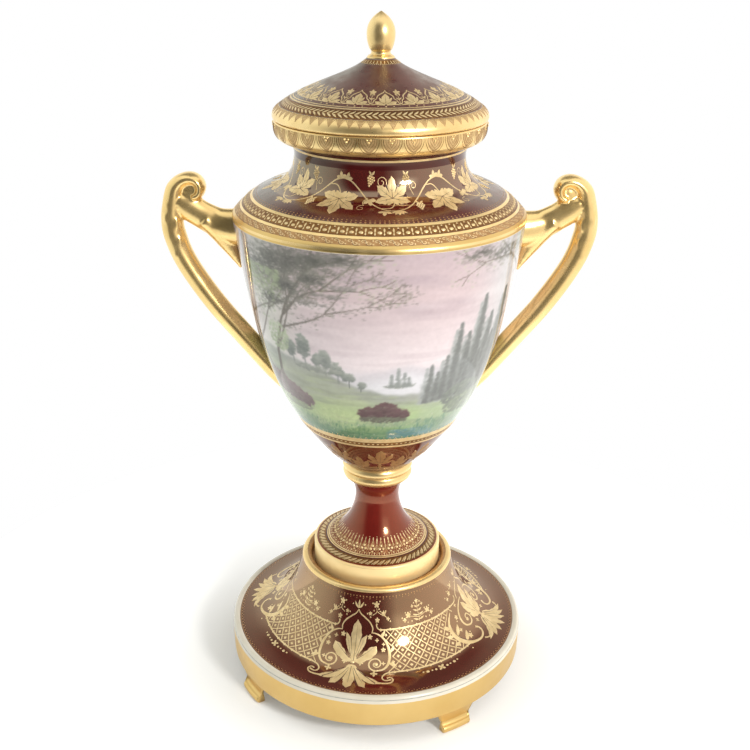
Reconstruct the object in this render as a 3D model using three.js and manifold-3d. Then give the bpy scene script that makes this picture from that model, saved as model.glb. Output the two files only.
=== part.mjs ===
// Covered mantel urn on its own stand: a gilded porcelain vase with two handles,
// a lid with an acorn finial, a pedestal foot and a low round stand on four bracket feet.
// Millimetres, +Z up, origin on the ground under the urn's axis, handles along X, front at -Y.
import * as THREE from 'three';
import { mergeVertices } from 'three/addons/utils/BufferGeometryUtils.js';
import Module from 'manifold-3d';

const wasm = await Module();
wasm.setup();

// ---- driving dimensions ----
const FACETS = 36;          // sides of every turned piece
const REST_GAP = 0.3;       // between pieces that rest on each other

const STAND_R = 92.3;       // stand, outside of the gilded side
const SIDE_BOTTOM = 14;     // lower edge of the side, above the ground
const SIDE_TOP = 29.6;      // where the gilded side meets the white rim
const RIM_TOP = 33.4;       // crest of the white rim
const BRIM_R = 88;          // outer edge of the flat brim
const BRIM_IN_R = 79;       // where the bell starts to rise
const BRIM_Z = 32.8;        // brim at its outer edge
const STAND_WALL = 4.2;     // porcelain thickness of the stand
const LIP_R = 47;           // outside of the socket's lip
const LIP_TOP = 79.3;       // crest of the lip
const WELL_R = 41;          // inside of the socket
const WELL_FLOOR = 72;      // floor that the foot stands on

const BRACKET_FIRST = 32;   // direction of the first bracket foot, degrees from +X
const BRACKET_COUNT = 4;
const BRACKET_WIDTH = 19;   // across the toe
const BRACKET_SPREAD = 3.4; // how far each side spreads into the wall above

const FOOT_R = 39.3;        // gilded band of the foot
const FOOT_BAND_TOP = 87.1; // upper edge of that band
const STEM_R = 13.4;        // waist of the stem
const STEM_Z = 117;         // height of the waist
const COLLAR_R = 21.2;      // collar rings where foot and vase meet
const PART_LINE = 136.7;    // height of the joint between them

const CUP_Z = 141.6;        // where the vase leaves its collar
const SHOULDER_R = 81.8;    // widest ring of the vase
const SHOULDER_Z = 294;
const NECK_R = 47;          // waist of the neck
const NECK_Z = 328;
const MOUTH_R = 57.9;       // outside of the mouth rim
const MOUTH_Z = 346.6;      // flat top of the mouth rim
const MOUTH_BORE = 42.4;    // inside of the mouth and neck
const VASE_WALL = 5;        // porcelain thickness of the vase

const LID_R = 58.6;         // rounded edge of the lid
const LID_EDGE_TOP = 354.2; // where the dome starts
const DOME_TOP = 378.2;     // where the finial's base sits
const FLANGE_R = 41.4;      // ring that drops into the mouth
const FLANGE_DEPTH = 8;
const LID_WALL = 4.5;
const FINIAL_R = 7.6;       // egg of the finial
const FINIAL_TIP = 401.8;

const HANDLE_DEPTH = 6.3;   // half of a handle's depth, front to back
const SECTION_SIDES = 8;    // sides of a handle's section
const VOLUTE_EYE = [104.6, 306.2]; // centre of the scroll, in the XZ plane

// ---- helpers ----

// A closed outline in the (radius, height) plane, walked with the material on the left.
class Outline {
  constructor(r, z) {
    this.points = [new THREE.Vector2(r, z)];
  }
  get end() {
    return this.points[this.points.length - 1];
  }
  line(...pairs) {
    for (const [r, z] of pairs) this.points.push(new THREE.Vector2(r, z));
    return this;
  }
  curve(control1, control2, end, steps) {
    const vectors = [control1, control2, end].map(([r, z]) => new THREE.Vector2(r, z));
    const bezier = new THREE.CubicBezierCurve(this.end.clone(), ...vectors);
    this.points.push(...bezier.getPoints(steps).slice(1));
    return this;
  }
  bend(control, end, steps) {
    const vectors = [control, end].map(([r, z]) => new THREE.Vector2(r, z));
    const bezier = new THREE.QuadraticBezierCurve(this.end.clone(), ...vectors);
    this.points.push(...bezier.getPoints(steps).slice(1));
    return this;
  }
  turned() {
    return new THREE.LatheGeometry(this.points, FACETS).rotateX(Math.PI / 2);
  }
}

function solid(geometry) {
  const bare = geometry.clone();
  bare.deleteAttribute('normal');
  bare.deleteAttribute('uv');
  const merged = mergeVertices(bare, 1e-4);
  const index = Array.from(merged.index.array);
  const kept = [];
  for (let i = 0; i < index.length; i += 3) {
    const [a, b, c] = index.slice(i, i + 3);
    if (a !== b && b !== c && c !== a) kept.push(a, b, c);
  }
  return new wasm.Manifold(new wasm.Mesh({
    numProp: 3,
    vertProperties: new Float32Array(merged.attributes.position.array),
    triVerts: new Uint32Array(kept),
  }));
}

function geometryOf(manifold) {
  const mesh = manifold.getMesh();
  const geometry = new THREE.BufferGeometry();
  geometry.setAttribute('position', new THREE.BufferAttribute(mesh.vertProperties, 3));
  geometry.setIndex(new THREE.BufferAttribute(mesh.triVerts, 1));
  geometry.computeVertexNormals();
  return geometry;
}

// A bar swept through stations in the XZ plane. Each station is (x, z, half thickness);
// the section is an oval with a soft ridge on its front and back.
function bar(stations, depthAt) {
  const positions = [];
  const index = [];
  const last = stations.length - 1;
  stations.forEach((station, i) => {
    const before = stations[Math.max(i - 1, 0)];
    const after = stations[Math.min(i + 1, last)];
    const along = new THREE.Vector2(after.x - before.x, after.y - before.y).normalize();
    const depth = depthAt(i / last);
    for (let k = 0; k < SECTION_SIDES; k++) {
      const angle = (2 * Math.PI * k) / SECTION_SIDES;
      const across = Math.cos(angle) * station.z * (1 - 0.1 * Math.sin(angle) ** 2);
      const out = Math.sin(angle) * depth;
      positions.push(station.x + along.y * across, out, station.y - along.x * across);
    }
  });
  for (let i = 0; i < last; i++) {
    for (let k = 0; k < SECTION_SIDES; k++) {
      const a = i * SECTION_SIDES + k;
      const b = i * SECTION_SIDES + ((k + 1) % SECTION_SIDES);
      index.push(a, b, b + SECTION_SIDES, a, b + SECTION_SIDES, a + SECTION_SIDES);
    }
  }
  for (let k = 1; k < SECTION_SIDES - 1; k++) {
    const top = last * SECTION_SIDES;
    index.push(0, k + 1, k, top, top + k, top + k + 1);
  }
  const geometry = new THREE.BufferGeometry();
  geometry.setAttribute('position', new THREE.Float32BufferAttribute(positions, 3));
  geometry.setIndex(index);
  return geometry;
}

function through(points, steps) {
  const knots = points.map(([x, z, half]) => new THREE.Vector3(x, z, half));
  return new THREE.CatmullRomCurve3(knots, false, 'centripetal').getPoints(steps);
}

// ---- stand: plateau with a flared socket, on four bracket feet ----

function bracketFoot() {
  const top = SIDE_BOTTOM + 3;
  const toe = 2.3;
  const side = new THREE.Shape();
  side.moveTo(87.6, top);
  side.bezierCurveTo(86.4, 12, 86.2, 8.5, 87.4, 5.5);
  side.lineTo(86.8, 0);
  side.lineTo(90.2, 0);
  side.absarc(90.2, toe, toe, -Math.PI / 2, Math.PI / 2, false);
  side.bezierCurveTo(89.2, 6.5, 90, 10.5, 91.9, top);
  side.closePath();
  const plate = new THREE.ExtrudeGeometry(side, {
    depth: 2 * BRACKET_WIDTH, bevelEnabled: false, curveSegments: 5,
  });
  plate.translate(0, 0, -BRACKET_WIDTH).rotateX(Math.PI / 2);

  const half = BRACKET_WIDTH / 2;
  const face = new THREE.Shape();
  face.moveTo(-half, -1);
  face.lineTo(half, -1);
  face.lineTo(half, SIDE_BOTTOM - 5);
  face.quadraticCurveTo(half, SIDE_BOTTOM, half + BRACKET_SPREAD, SIDE_BOTTOM + 0.5);
  face.lineTo(half + BRACKET_SPREAD, top + 1);
  face.lineTo(-half - BRACKET_SPREAD, top + 1);
  face.lineTo(-half - BRACKET_SPREAD, SIDE_BOTTOM + 0.5);
  face.quadraticCurveTo(-half, SIDE_BOTTOM, -half, SIDE_BOTTOM - 5);
  face.closePath();
  const front = new THREE.ExtrudeGeometry(face, {
    depth: 40, bevelEnabled: false, curveSegments: 4,
  });
  front.rotateX(Math.PI / 2).rotateZ(Math.PI / 2).translate(60, 0, 0);
  return solid(plate).intersect(solid(front));
}

function standGeometry() {
  const inner = STAND_R - STAND_WALL;
  const underBrim = BRIM_Z - STAND_WALL;
  const outline = new Outline(0, WELL_FLOOR - 5)
    .line([LIP_R - STAND_WALL - 1.5, WELL_FLOOR - 5])
    .curve([47, 52], [58, 33], [BRIM_IN_R, underBrim + 0.8], 3)
    .line([inner, underBrim], [inner, SIDE_BOTTOM])
    .line([STAND_R - 0.5, SIDE_BOTTOM], [STAND_R, SIDE_TOP])
    .bend([STAND_R - 0.1, RIM_TOP], [90.2, RIM_TOP], 2)
    .line([BRIM_R + 0.5, RIM_TOP - 0.1], [BRIM_R, BRIM_Z])
    .line([BRIM_IN_R, BRIM_Z + 0.9])
    .curve([60.5, 37.5], [51.5, 54], [LIP_R - 0.5, LIP_TOP - 5], 6)
    .line([LIP_R, LIP_TOP - 4.2])
    .bend([LIP_R - 0.4, LIP_TOP], [WELL_R + 2.4, LIP_TOP], 2)
    .bend([WELL_R, LIP_TOP], [WELL_R, LIP_TOP - 2.2], 1)
    .line([WELL_R, WELL_FLOOR], [0, WELL_FLOOR]);
  let stand = solid(outline.turned());
  const bracket = bracketFoot();
  for (let i = 0; i < BRACKET_COUNT; i++) {
    stand = stand.add(bracket.rotate([0, 0, BRACKET_FIRST + (i * 360) / BRACKET_COUNT]));
  }
  return geometryOf(stand);
}

// ---- foot: turned pedestal, hollow from below ----

function footGeometry() {
  const bottom = WELL_FLOOR + REST_GAP;
  const top = PART_LINE;
  const outline = new Outline(0, STEM_Z + 4)
    .line([STEM_R - 6.5, STEM_Z + 2])
    .curve([STEM_R - 6, 98], [22, 86], [FOOT_R - 5, FOOT_BAND_TOP - 5], 2)
    .line([FOOT_R - 4.5, bottom], [FOOT_R, bottom])
    .line([FOOT_R, FOOT_BAND_TOP - 1], [FOOT_R - 0.7, FOOT_BAND_TOP])
    .line([FOOT_R - 1.8, FOOT_BAND_TOP + 0.3])
    .curve([26, 89], [14.6, 101], [STEM_R, STEM_Z], 6)
    .curve([STEM_R - 0.1, 122], [14.6, 126], [COLLAR_R - 3.8, top - 7], 2)
    .line([COLLAR_R - 2.8, top - 6.4], [COLLAR_R - 0.8, top - 4])
    .bend([COLLAR_R + 0.2, top - 2], [COLLAR_R - 0.4, top - 0.5], 1)
    .line([COLLAR_R - 0.9, top], [0, top]);
  return outline.turned();
}

// ---- vase: hollow body with its two handles ----

function vaseOutside() {
  const bottom = PART_LINE + REST_GAP;
  return new Outline(0, bottom)
    .line([COLLAR_R - 0.7, bottom])
    .bend([COLLAR_R + 0.5, bottom + 2.3], [COLLAR_R - 0.5, CUP_Z - 0.2], 2)
    .line([COLLAR_R - 0.9, CUP_Z])
    .curve([67.5, 184], [73.8, 240], [SHOULDER_R - 0.3, SHOULDER_Z - 2], 7)
    .line([SHOULDER_R, SHOULDER_Z], [SHOULDER_R - 0.4, SHOULDER_Z + 2.4])
    .curve([75, 303.5], [68.5, 308.5], [60, 310.9], 3)
    .curve([51.5, 313.3], [47, 319.5], [NECK_R, NECK_Z], 4)
    .line([NECK_R + 1.2, 334], [NECK_R + 3.2, 335.5], [53.4, 335.9])
    .bend([MOUTH_R, 338.2], [MOUTH_R, 343.2], 3)
    .line([MOUTH_R - 0.5, MOUTH_Z], [0, MOUTH_Z])
    .turned();
}

function vaseInside() {
  const wide = SHOULDER_R - VASE_WALL;
  return new Outline(0, CUP_Z + 5.4)
    .line([COLLAR_R - 3.2, CUP_Z + 5.4])
    .curve([62, 187], [69, 240], [wide - 0.5, SHOULDER_Z - 3], 4)
    .line([wide - 1.6, SHOULDER_Z + 1.2])
    .curve([71, 299.5], [66, 303.2], [59, 305.4], 2)
    .curve([48, 308.5], [MOUTH_BORE - 0.2, 316], [MOUTH_BORE, NECK_Z], 3)
    .line([MOUTH_BORE + 0.2, MOUTH_Z + 6], [0, MOUTH_Z + 6])
    .turned();
}

// Strap from the lower body outwards and up, rolled over into a scroll: the strap's stations
// are (x, z, half thickness), the scroll's (degrees, outer radius, half thickness) about its eye.
function strapAndScroll() {
  const strap = [
    [53, 190.5, 5.2], [61.9, 201.2, 6.2], [78, 221, 6.25], [95.1, 242.6, 6.3],
    [109.2, 265.2, 6.3], [115, 281, 6.5], [116, 292, 6.2],
  ];
  const scroll = [
    [-8, 15, 5.4], [20, 12.9, 4.6], [52, 11.3, 3.9], [88, 10.7, 3.5],
    [120, 10.3, 3.3], [151, 9.3, 3.1], [184, 7.9, 2.9], [217, 6.6, 2.6], [251, 5.2, 2.3],
  ];
  const [eyeX, eyeZ] = VOLUTE_EYE;
  const rolled = scroll.map(([degrees, outer, half]) => {
    const angle = THREE.MathUtils.degToRad(degrees);
    const reach = outer - half;
    return [eyeX + reach * Math.cos(angle), eyeZ + reach * Math.sin(angle), half];
  });
  return solid(bar(through([...strap, ...rolled], 22), () => HANDLE_DEPTH));
}

// The scroll's face lies a little below the rolled edge.
function scrollFace() {
  const face = new THREE.CylinderGeometry(7.4, 7.4, 2 * HANDLE_DEPTH - 3, 12);
  return solid(face.translate(VOLUTE_EYE[0], 0, VOLUTE_EYE[1]));
}

function branch() {
  const stations = through([
    [111.5, 301, 5], [107, 297.5, 8], [99.8, 292, 7.8], [91, 286.8, 8.4],
    [84.5, 283, 10.8], [79.5, 281, 14.2], [76.5, 280.5, 15],
  ], 7);
  return solid(bar(stations, (t) => HANDLE_DEPTH - 0.3 + 3.4 * Math.max(0, t - 0.55) / 0.45));
}

function bodyGeometry() {
  let body = solid(vaseOutside());
  const handle = strapAndScroll().add(scrollFace()).add(branch());
  body = body.add(handle).add(handle.rotate([0, 0, 180]));
  body = body.subtract(solid(vaseInside()));
  return geometryOf(body);
}

// ---- lid: ogee dome with a locating flange and an acorn finial ----

function lidGeometry() {
  const bottom = MOUTH_Z + REST_GAP;
  const outline = new Outline(0, DOME_TOP - LID_WALL - 2)
    .line([8, DOME_TOP - LID_WALL - 5])
    .curve([18, 364], [32, 360], [FLANGE_R - 3, 356.4], 2)
    .line([FLANGE_R - 3, bottom - FLANGE_DEPTH], [FLANGE_R - 0.4, bottom - FLANGE_DEPTH])
    .line([FLANGE_R, bottom], [LID_R - 0.4, bottom])
    .bend([LID_R + 0.3, bottom + 4.6], [LID_R - 4, LID_EDGE_TOP], 3)
    .curve([42, 364], [15, 370.6], [FINIAL_R - 0.2, DOME_TOP], 6)
    .line([FINIAL_R - 0.5, DOME_TOP + 1])
    .bend([5.1, DOME_TOP + 2], [5.2, DOME_TOP + 3.2], 1)
    .curve([6.6, 383.4], [FINIAL_R + 0.1, 386.5], [FINIAL_R, 389.6], 3)
    .curve([FINIAL_R - 0.2, 395], [3.6, 398.4], [0, FINIAL_TIP], 4);
  return outline.turned();
}

// ---- the object ----

const gilding = { color: 0xc9993f, roughness: 0.25, metalness: 1 };
const maroon = { color: 0x54181a, roughness: 0.12, metalness: 0 };

const pieces = [
  ['stand', standGeometry(), gilding],
  ['foot', footGeometry(), maroon],
  ['body', bodyGeometry(), { color: 0x9c98a0, roughness: 0.1, metalness: 0 }],
  ['lid', lidGeometry(), maroon],
];

const group = new THREE.Group();
for (const [name, geometry, look] of pieces) {
  const mesh = new THREE.Mesh(geometry, new THREE.MeshStandardMaterial(look));
  mesh.name = name;
  group.add(mesh);
}

export default group;
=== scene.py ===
"""Looks of the covered mantel urn: glaze, gilding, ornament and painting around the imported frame.

Lengths named in this file are millimetres; meshes are made in millimetres and scaled to metres
when they become objects. Directions round the axis are degrees from the front (-Y), positive
towards +X. Ornament is drawn flat, as (u, v): u runs round the piece in millimetres at a stated
reach, v runs up the outside from a marked place on its profile.
"""
import math

import bpy
import numpy as np
from mathutils import Matrix, Vector


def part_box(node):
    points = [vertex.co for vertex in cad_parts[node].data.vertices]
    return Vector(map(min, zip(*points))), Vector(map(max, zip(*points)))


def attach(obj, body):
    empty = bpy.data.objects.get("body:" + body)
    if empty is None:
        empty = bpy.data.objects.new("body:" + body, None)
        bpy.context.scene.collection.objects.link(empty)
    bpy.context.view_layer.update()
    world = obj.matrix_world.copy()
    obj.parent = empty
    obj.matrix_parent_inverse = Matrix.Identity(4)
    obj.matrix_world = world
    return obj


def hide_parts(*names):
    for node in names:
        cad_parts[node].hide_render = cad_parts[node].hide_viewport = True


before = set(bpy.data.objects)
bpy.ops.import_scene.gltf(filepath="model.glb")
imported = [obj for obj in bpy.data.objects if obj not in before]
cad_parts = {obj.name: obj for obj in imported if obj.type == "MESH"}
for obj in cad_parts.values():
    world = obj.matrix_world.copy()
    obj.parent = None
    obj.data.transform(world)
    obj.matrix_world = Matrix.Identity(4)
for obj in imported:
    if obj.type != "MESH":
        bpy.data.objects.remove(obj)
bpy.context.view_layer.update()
M = 0.001
MM = 1000.0


def cad(node, corner, axis):
    """One coordinate of a CAD node's box, in millimetres; corner 0 is low, 1 is high."""
    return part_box(node)[corner][axis] * MM


# ---- sizes taken from the frame ----
STAND_R = cad("stand", 1, 0)
LIP_TOP = cad("stand", 1, 2)
FOOT_R = cad("foot", 1, 0)
FOOT_BOTTOM = cad("foot", 0, 2)
PART_LINE = cad("foot", 1, 2)
SHOULDER_R = cad("body", 1, 1)
BODY_BOTTOM = cad("body", 0, 2)
MOUTH_Z = cad("body", 1, 2)
LID_BOTTOM = MOUTH_Z + (BODY_BOTTOM - PART_LINE)
FLANGE_BOTTOM = cad("lid", 0, 2)
TIP_Z = cad("lid", 1, 2)

# ---- sizes inside those boxes ----
SIDE_BOTTOM = 14.0
SIDE_TOP = 29.6
RIM_TOP = 33.4
BRIM_R = 88.0
BRIM_IN_R = 79.0
BRIM_Z = 32.8
LIP_R = 47.0
# the socket's lip ends this far under the top of the CAD's stand
LIP_SINK = 2.4
WELL_R = 41.0
WELL_FLOOR = 72.0
STAND_WALL = 4.2
FOOT_BAND_TOP = 87.1
STEM_R = 13.4
STEM_Z = 117.0
COLLAR_R = 21.2
CUP_Z = 141.6
SHOULDER_Z = 294.0
NECK_R = 47.0
NECK_Z = 328.0
MOUTH_R = 57.9
MOUTH_BORE = 42.4
VASE_WALL = 5.0
LID_R = 58.6
LID_EDGE_TOP = 354.2
DOME_TOP = 378.2
FLANGE_R = 41.4
FINIAL_R = 7.6
PICTURE_LOW = 47.0
PICTURE_HIGH = 168.2

TURN_STEPS = 240
SHARP_TURN = 35
ON_AXIS = 1e-6


# ---- camera: the photograph's angle ----

def make_camera():
    distance, pitch, roll = 645.0, math.radians(22.71), math.radians(0.41)
    aim = Vector((-1.9, 0.0, 196.1))
    back = Vector((0.0, -math.cos(pitch), math.sin(pitch)))
    data = bpy.data.cameras.new("camera")
    data.lens, data.sensor_width = 52.16, 36.0
    data.clip_start, data.clip_end = 0.01, 60.0
    camera = new_object("camera", data)
    turn = back.to_track_quat("Z", "Y").to_matrix().to_4x4() @ Matrix.Rotation(roll, 4, "Z")
    camera.matrix_world = Matrix.Translation((aim + back * distance) * M) @ turn
    bpy.context.scene.camera = camera


# ---- profiles and turned surfaces ----

def bezier(controls, t):
    """Points on a Bezier curve with any number of controls, at the given shares of its way."""
    rows = np.repeat(np.array(controls, float)[None], len(t), 0)
    t = np.asarray(t)[:, None, None]
    while rows.shape[1] > 1:
        rows = rows[:, :-1] * (1 - t) + rows[:, 1:] * t
    return rows[:, 0]


class Outline:
    """A profile in the (radius, height) plane, walked with the material on the left.
    Every step carries the name of its finish, and marks name places along it."""

    def __init__(self, r, z):
        self.points = [(r, z)]
        self.finish = []
        self.marks = {}

    def mark(self, name):
        self.marks[name] = len(self.points) - 1
        return self

    def line(self, finish, *pairs):
        self.points.extend(pairs)
        self.finish.extend([finish] * len(pairs))
        return self

    def curve(self, finish, *places):
        """A Bezier curve from where the outline is; after its controls and its end comes the
        number of its steps."""
        *controls, steps = places
        t = np.linspace(0, 1, steps + 1)[1:]
        return self.line(finish, *bezier([self.points[-1], *controls], t).tolist())

    def _cut(self, start, v):
        """The index of a point v millimetres up from the mark, made there if need be."""
        i, left = self.marks[start], v
        while True:
            a, b = np.array(self.points[i]), np.array(self.points[i + 1])
            step = float(np.linalg.norm(b - a))
            if left < 1e-3:
                return i
            if left < step - 1e-3:
                self.points.insert(i + 1, (a + (b - a) * left / step).tolist())
                self.finish.insert(i, self.finish[i])
                self.marks = {k: j + (j > i) for k, j in self.marks.items()}
                return i + 1
            left -= step
            i += 1

    def rings(self, start, *bands):
        """Gives each band a finish of its own: (low, high, finish), both up from a mark."""
        for low, high, finish in bands:
            i = self._cut(start, low)
            j = self._cut(start, high)
            self.finish[i:j] = [finish] * (j - i)
        return self


class Skin:
    """The outside of a turned piece between two marks, where flat ornament is laid."""

    def __init__(self, outline, low, high, reach):
        span = slice(outline.marks[low], outline.marks[high] + 1)
        self.rz = np.array(outline.points[span], float)
        step = np.diff(self.rz, axis=0)
        length = np.linalg.norm(step, axis=1)
        self.v = np.concatenate([[0], np.cumsum(length)])
        normal = np.stack([step[:, 1], -step[:, 0]], 1) / length[:, None]
        smooth = np.vstack([normal[:1], normal[1:] + normal[:-1], normal[-1:]])
        self.normal = smooth / np.linalg.norm(smooth, axis=1)[:, None]
        self.reach = reach

    def place(self, sheet, turn):
        """Moves (u, v, lift) points onto the piece, turned round the axis by some degrees."""
        u, v, lift = sheet.T
        r, z = (np.interp(v, self.v, self.rz[:, k]) + lift * np.interp(v, self.v, self.normal[:, k])
                for k in (0, 1))
        a = math.radians(turn) + u / self.reach
        return np.stack([r * np.sin(a), -r * np.cos(a), z], 1)


def new_object(name, data):
    piece = bpy.data.objects.new(name, data)
    bpy.context.collection.objects.link(piece)
    return piece


def array_mesh(name, verts, faces, materials, slots=None):
    """A mesh from number arrays: faces is a list of arrays, one per corner count."""
    mesh = bpy.data.meshes.new(name)
    mesh.vertices.add(len(verts))
    mesh.vertices.foreach_set("co", (np.asarray(verts, float) * M).ravel())
    corners = np.concatenate([f.ravel() for f in faces])
    counts = np.concatenate([np.full(len(f), f.shape[1]) for f in faces])
    mesh.loops.add(len(corners))
    mesh.loops.foreach_set("vertex_index", corners.astype(np.int32))
    mesh.polygons.add(len(counts))
    starts = np.concatenate([[0], np.cumsum(counts)[:-1]]).astype(np.int32)
    mesh.polygons.foreach_set("loop_start", starts)
    if slots:
        mesh.polygons.foreach_set("material_index", np.concatenate(slots).astype(np.int32))
    for material in materials:
        mesh.materials.append(material)
    mesh.update(calc_edges=True)
    mesh.validate()
    mesh.shade_smooth()
    return mesh


def turned(name, outline, finishes):
    """A revolved mesh with one material per finish, and hard edges kept at sharp corners."""
    pts = np.array(outline.points, float)
    angle = math.tau * np.arange(TURN_STEPS) / TURN_STEPS
    rows, verts = [], []
    for r, z in pts:
        if r < ON_AXIS:
            rows.append(np.full(TURN_STEPS, len(verts)))
            verts.append((0.0, 0.0, z))
        else:
            rows.append(np.arange(len(verts), len(verts) + TURN_STEPS))
            verts.extend(zip(r * np.sin(angle), -r * np.cos(angle), np.full(TURN_STEPS, z)))
    names = list(dict.fromkeys(outline.finish))
    faces, slots = {4: [], 3: []}, {4: [], 3: []}
    for i, finish in enumerate(outline.finish):
        low, high = rows[i], rows[i + 1]
        corners = [low, np.roll(low, -1), np.roll(high, -1), high]
        if pts[i][0] < ON_AXIS:
            del corners[1]
        elif pts[i + 1][0] < ON_AXIS:
            del corners[2]
        faces[len(corners)].append(np.stack(corners, 1))
        slots[len(corners)].append(np.full(TURN_STEPS, names.index(finish)))
    mesh = array_mesh(name, verts, [np.concatenate(faces[4]), np.concatenate(faces[3])],
                      [finishes[n] for n in names], slots[4] + slots[3])
    sharp = set()
    for i in range(1, len(pts) - 1):
        before, after = pts[i] - pts[i - 1], pts[i + 1] - pts[i]
        cosine = before @ after / (np.linalg.norm(before) * np.linalg.norm(after) + 1e-12)
        if cosine < math.cos(math.radians(SHARP_TURN)):
            sharp.update(rows[i].tolist())
    for edge in mesh.edges:
        a, b = edge.vertices
        if a in sharp and b in sharp and abs(mesh.vertices[a].co.z - mesh.vertices[b].co.z) < 1e-7:
            edge.use_edge_sharp = True
    return new_object(name, mesh)


def tube(rows, flip=False):
    """A closed skin over rows of points that each go once round, with a fan at both ends."""
    count, sides = rows.shape[:2]
    verts = rows.reshape(-1, 3)
    i, k = np.meshgrid(np.arange(count - 1) * sides, np.arange(sides), indexing="ij")
    j = (k + 1) % sides
    quads = np.stack([i + k, i + j, i + j + sides, i + k + sides], 2).reshape(-1, 4)
    k, j = k[0], j[0]
    top = (count - 1) * sides
    first, last = np.full(sides, len(verts)), np.full(sides, len(verts) + 1)
    tris = np.vstack([np.stack([j, k, first], 1), np.stack([top + k, top + j, last], 1)])
    if flip:
        quads, tris = quads[:, [0, 3, 2, 1]], tris[:, [1, 0, 2]]
    return np.vstack([verts, rows[0].mean(0), rows[-1].mean(0)]), quads, tris


# ---- flat ornament: every shape is a pair (points as u, v, lift; quads) ----

EDGE_DIP = -0.03
LIFT = 0.07
OVER = LIFT + 0.05


def smooth_line(points, step=0.8):
    """Evenly spaced points on a Catmull-Rom curve through the given ones, with how far each
    lies along the given points."""
    p = np.array(points, float)
    n = len(p)
    if n == 2:
        t = np.linspace(0, 1, max(2, int(math.ceil(np.linalg.norm(p[1] - p[0]) / step)) + 1))
        return p[0] + (p[1] - p[0]) * t[:, None], t
    ends = np.vstack([2 * p[0] - p[1], p, 2 * p[-1] - p[-2]])
    t = np.linspace(0, 1, 13)[:-1, None]
    dense, knot = [], []
    for i in range(n - 1):
        a, b, c, d = ends[i:i + 4]
        dense.append(0.5 * (2 * b + (c - a) * t + (2 * a - 5 * b + 4 * c - d) * t**2
                            + (3 * b - a - 3 * c + d) * t**3))
        knot.append(i + t[:, 0])
    dense, knot = np.vstack(dense + [p[-1:]]), np.concatenate(knot + [[n - 1]])
    run = np.concatenate([[0], np.cumsum(np.linalg.norm(np.diff(dense, axis=0), axis=1))])
    s = np.linspace(0, run[-1], max(3, int(math.ceil(run[-1] / step)) + 1))
    return (np.stack([np.interp(s, run, dense[:, 0]), np.interp(s, run, dense[:, 1])], 1),
            np.interp(s, run, knot))


def stroke(points, width, step=0.8, lift=LIFT, curved=True, across=None):
    """A ribbon along a line. The width is one number or one for each given point; its edges
    dip under the glaze, so the stroke stands on it as fired gold does."""
    line, knot = smooth_line(points, step) if curved else (np.array(points, float),
                                                          np.arange(len(points)))
    widths = np.broadcast_to(np.array(width, float), len(points))
    half = np.interp(knot, np.arange(len(widths)), widths) / 2
    along = np.gradient(line, axis=0)
    along /= np.linalg.norm(along, axis=1)[:, None] + 1e-9
    side = np.stack([-along[:, 1], along[:, 0]], 1)
    cols = across or max(2, int(math.ceil(half.max() * 2 / 1.7)))
    w = np.linspace(-1, 1, cols + 1)
    uv = line[:, None, :] + side[:, None, :] * half[:, None, None] * w[None, :, None]
    h = np.full((len(line), cols + 1), lift)
    h[:, 0] = h[:, -1] = EDGE_DIP
    i = (np.arange(len(line) - 1)[:, None] * (cols + 1) + np.arange(cols)[None, :]).ravel()
    return (np.concatenate([uv, h[:, :, None]], 2).reshape(-1, 3),
            np.stack([i, i + cols + 1, i + cols + 2, i + 1], 1))


def thin(points, width, lift=LIFT, curved=True):
    """A fine line: a stroke of two strips."""
    return stroke(points, width, lift=lift, curved=curved, across=2)


def vein(points, width):
    """A line drawn over the gold."""
    return stroke(points, width, lift=OVER)


def petal(base, tip, width, bend=0.0, fat=0.5, teeth=0, lift=LIFT):
    """A leaf lobe from its base to its pointed tip, widest at the share fat of its length and
    bent to a side by a share of it; teeth notch its edges."""
    b, t = np.array(base, float), np.array(tip, float)
    middle = (b + t) / 2 + bend * np.array([b[1] - t[1], t[0] - b[0]])
    stations = np.linspace(0, 1, 4 * teeth + 3 if teeth else 9)
    shape = np.interp(stations, [0, fat * 0.5, fat, (1 + fat) / 2, 1], [0.22, 0.78, 1, 0.68, 0.04])
    if teeth:
        notch = 0.5 + 0.5 * np.cos(math.tau * teeth * stations)
        shape *= 1 - 0.24 * notch * (stations > 0.15) * (stations < 0.97)
    return stroke(bezier([b, middle, t], stations), shape * width, curved=False, lift=lift)


def dot(at, radius, height=LIFT, sides=8):
    """A small round drop of gold: a ring of quads that closes on its middle."""
    a = math.tau * np.arange(sides) / sides
    ring = np.stack([np.cos(a), np.sin(a)], 1)
    rows = [np.column_stack([at + ring * radius * share, np.full(sides, lift)])
            for share, lift in ((1, EDGE_DIP), (0.62, height * 0.72), (0.12, height))]
    i = np.arange(sides)
    j = (i + 1) % sides
    quads = [np.stack([i + k, j + k, j + k + sides, i + k + sides], 1) for k in (0, sides)]
    if sides == 8:
        quads.append(2 * sides + np.array([[0, 1, 2, 3], [0, 3, 4, 7], [4, 5, 6, 7]]))
    return np.vstack(rows), np.vstack(quads)


def speck(at, radius):
    """A dot small enough for six sides."""
    return dot(at, radius, sides=6)


def join(*sheets):
    verts, quads, start = [], [], 0
    for points, faces in sheets:
        verts.append(points)
        quads.append(faces + start)
        start += len(points)
    return np.vstack(verts), np.vstack(quads)


def put(sheet, at=(0, 0), turn=0.0, size=1.0, flip=False):
    """Moves a flat shape; flip mirrors it from left to right first."""
    points, faces = sheet
    out = points.copy()
    out[:, 0] *= size * (-1 if flip else 1)
    out[:, 1] *= size
    c, s = math.cos(math.radians(turn)), math.sin(math.radians(turn))
    out[:, :2] = out[:, :2] @ np.array([[c, s], [-s, c]]) + np.array(at)
    return out, (faces[:, ::-1] if flip else faces)


def both(sheet, centre=0.0):
    """A shape together with its mirror image about u = 0 or another centre."""
    return join(sheet, put(sheet, (2 * centre, 0), flip=True))


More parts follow.
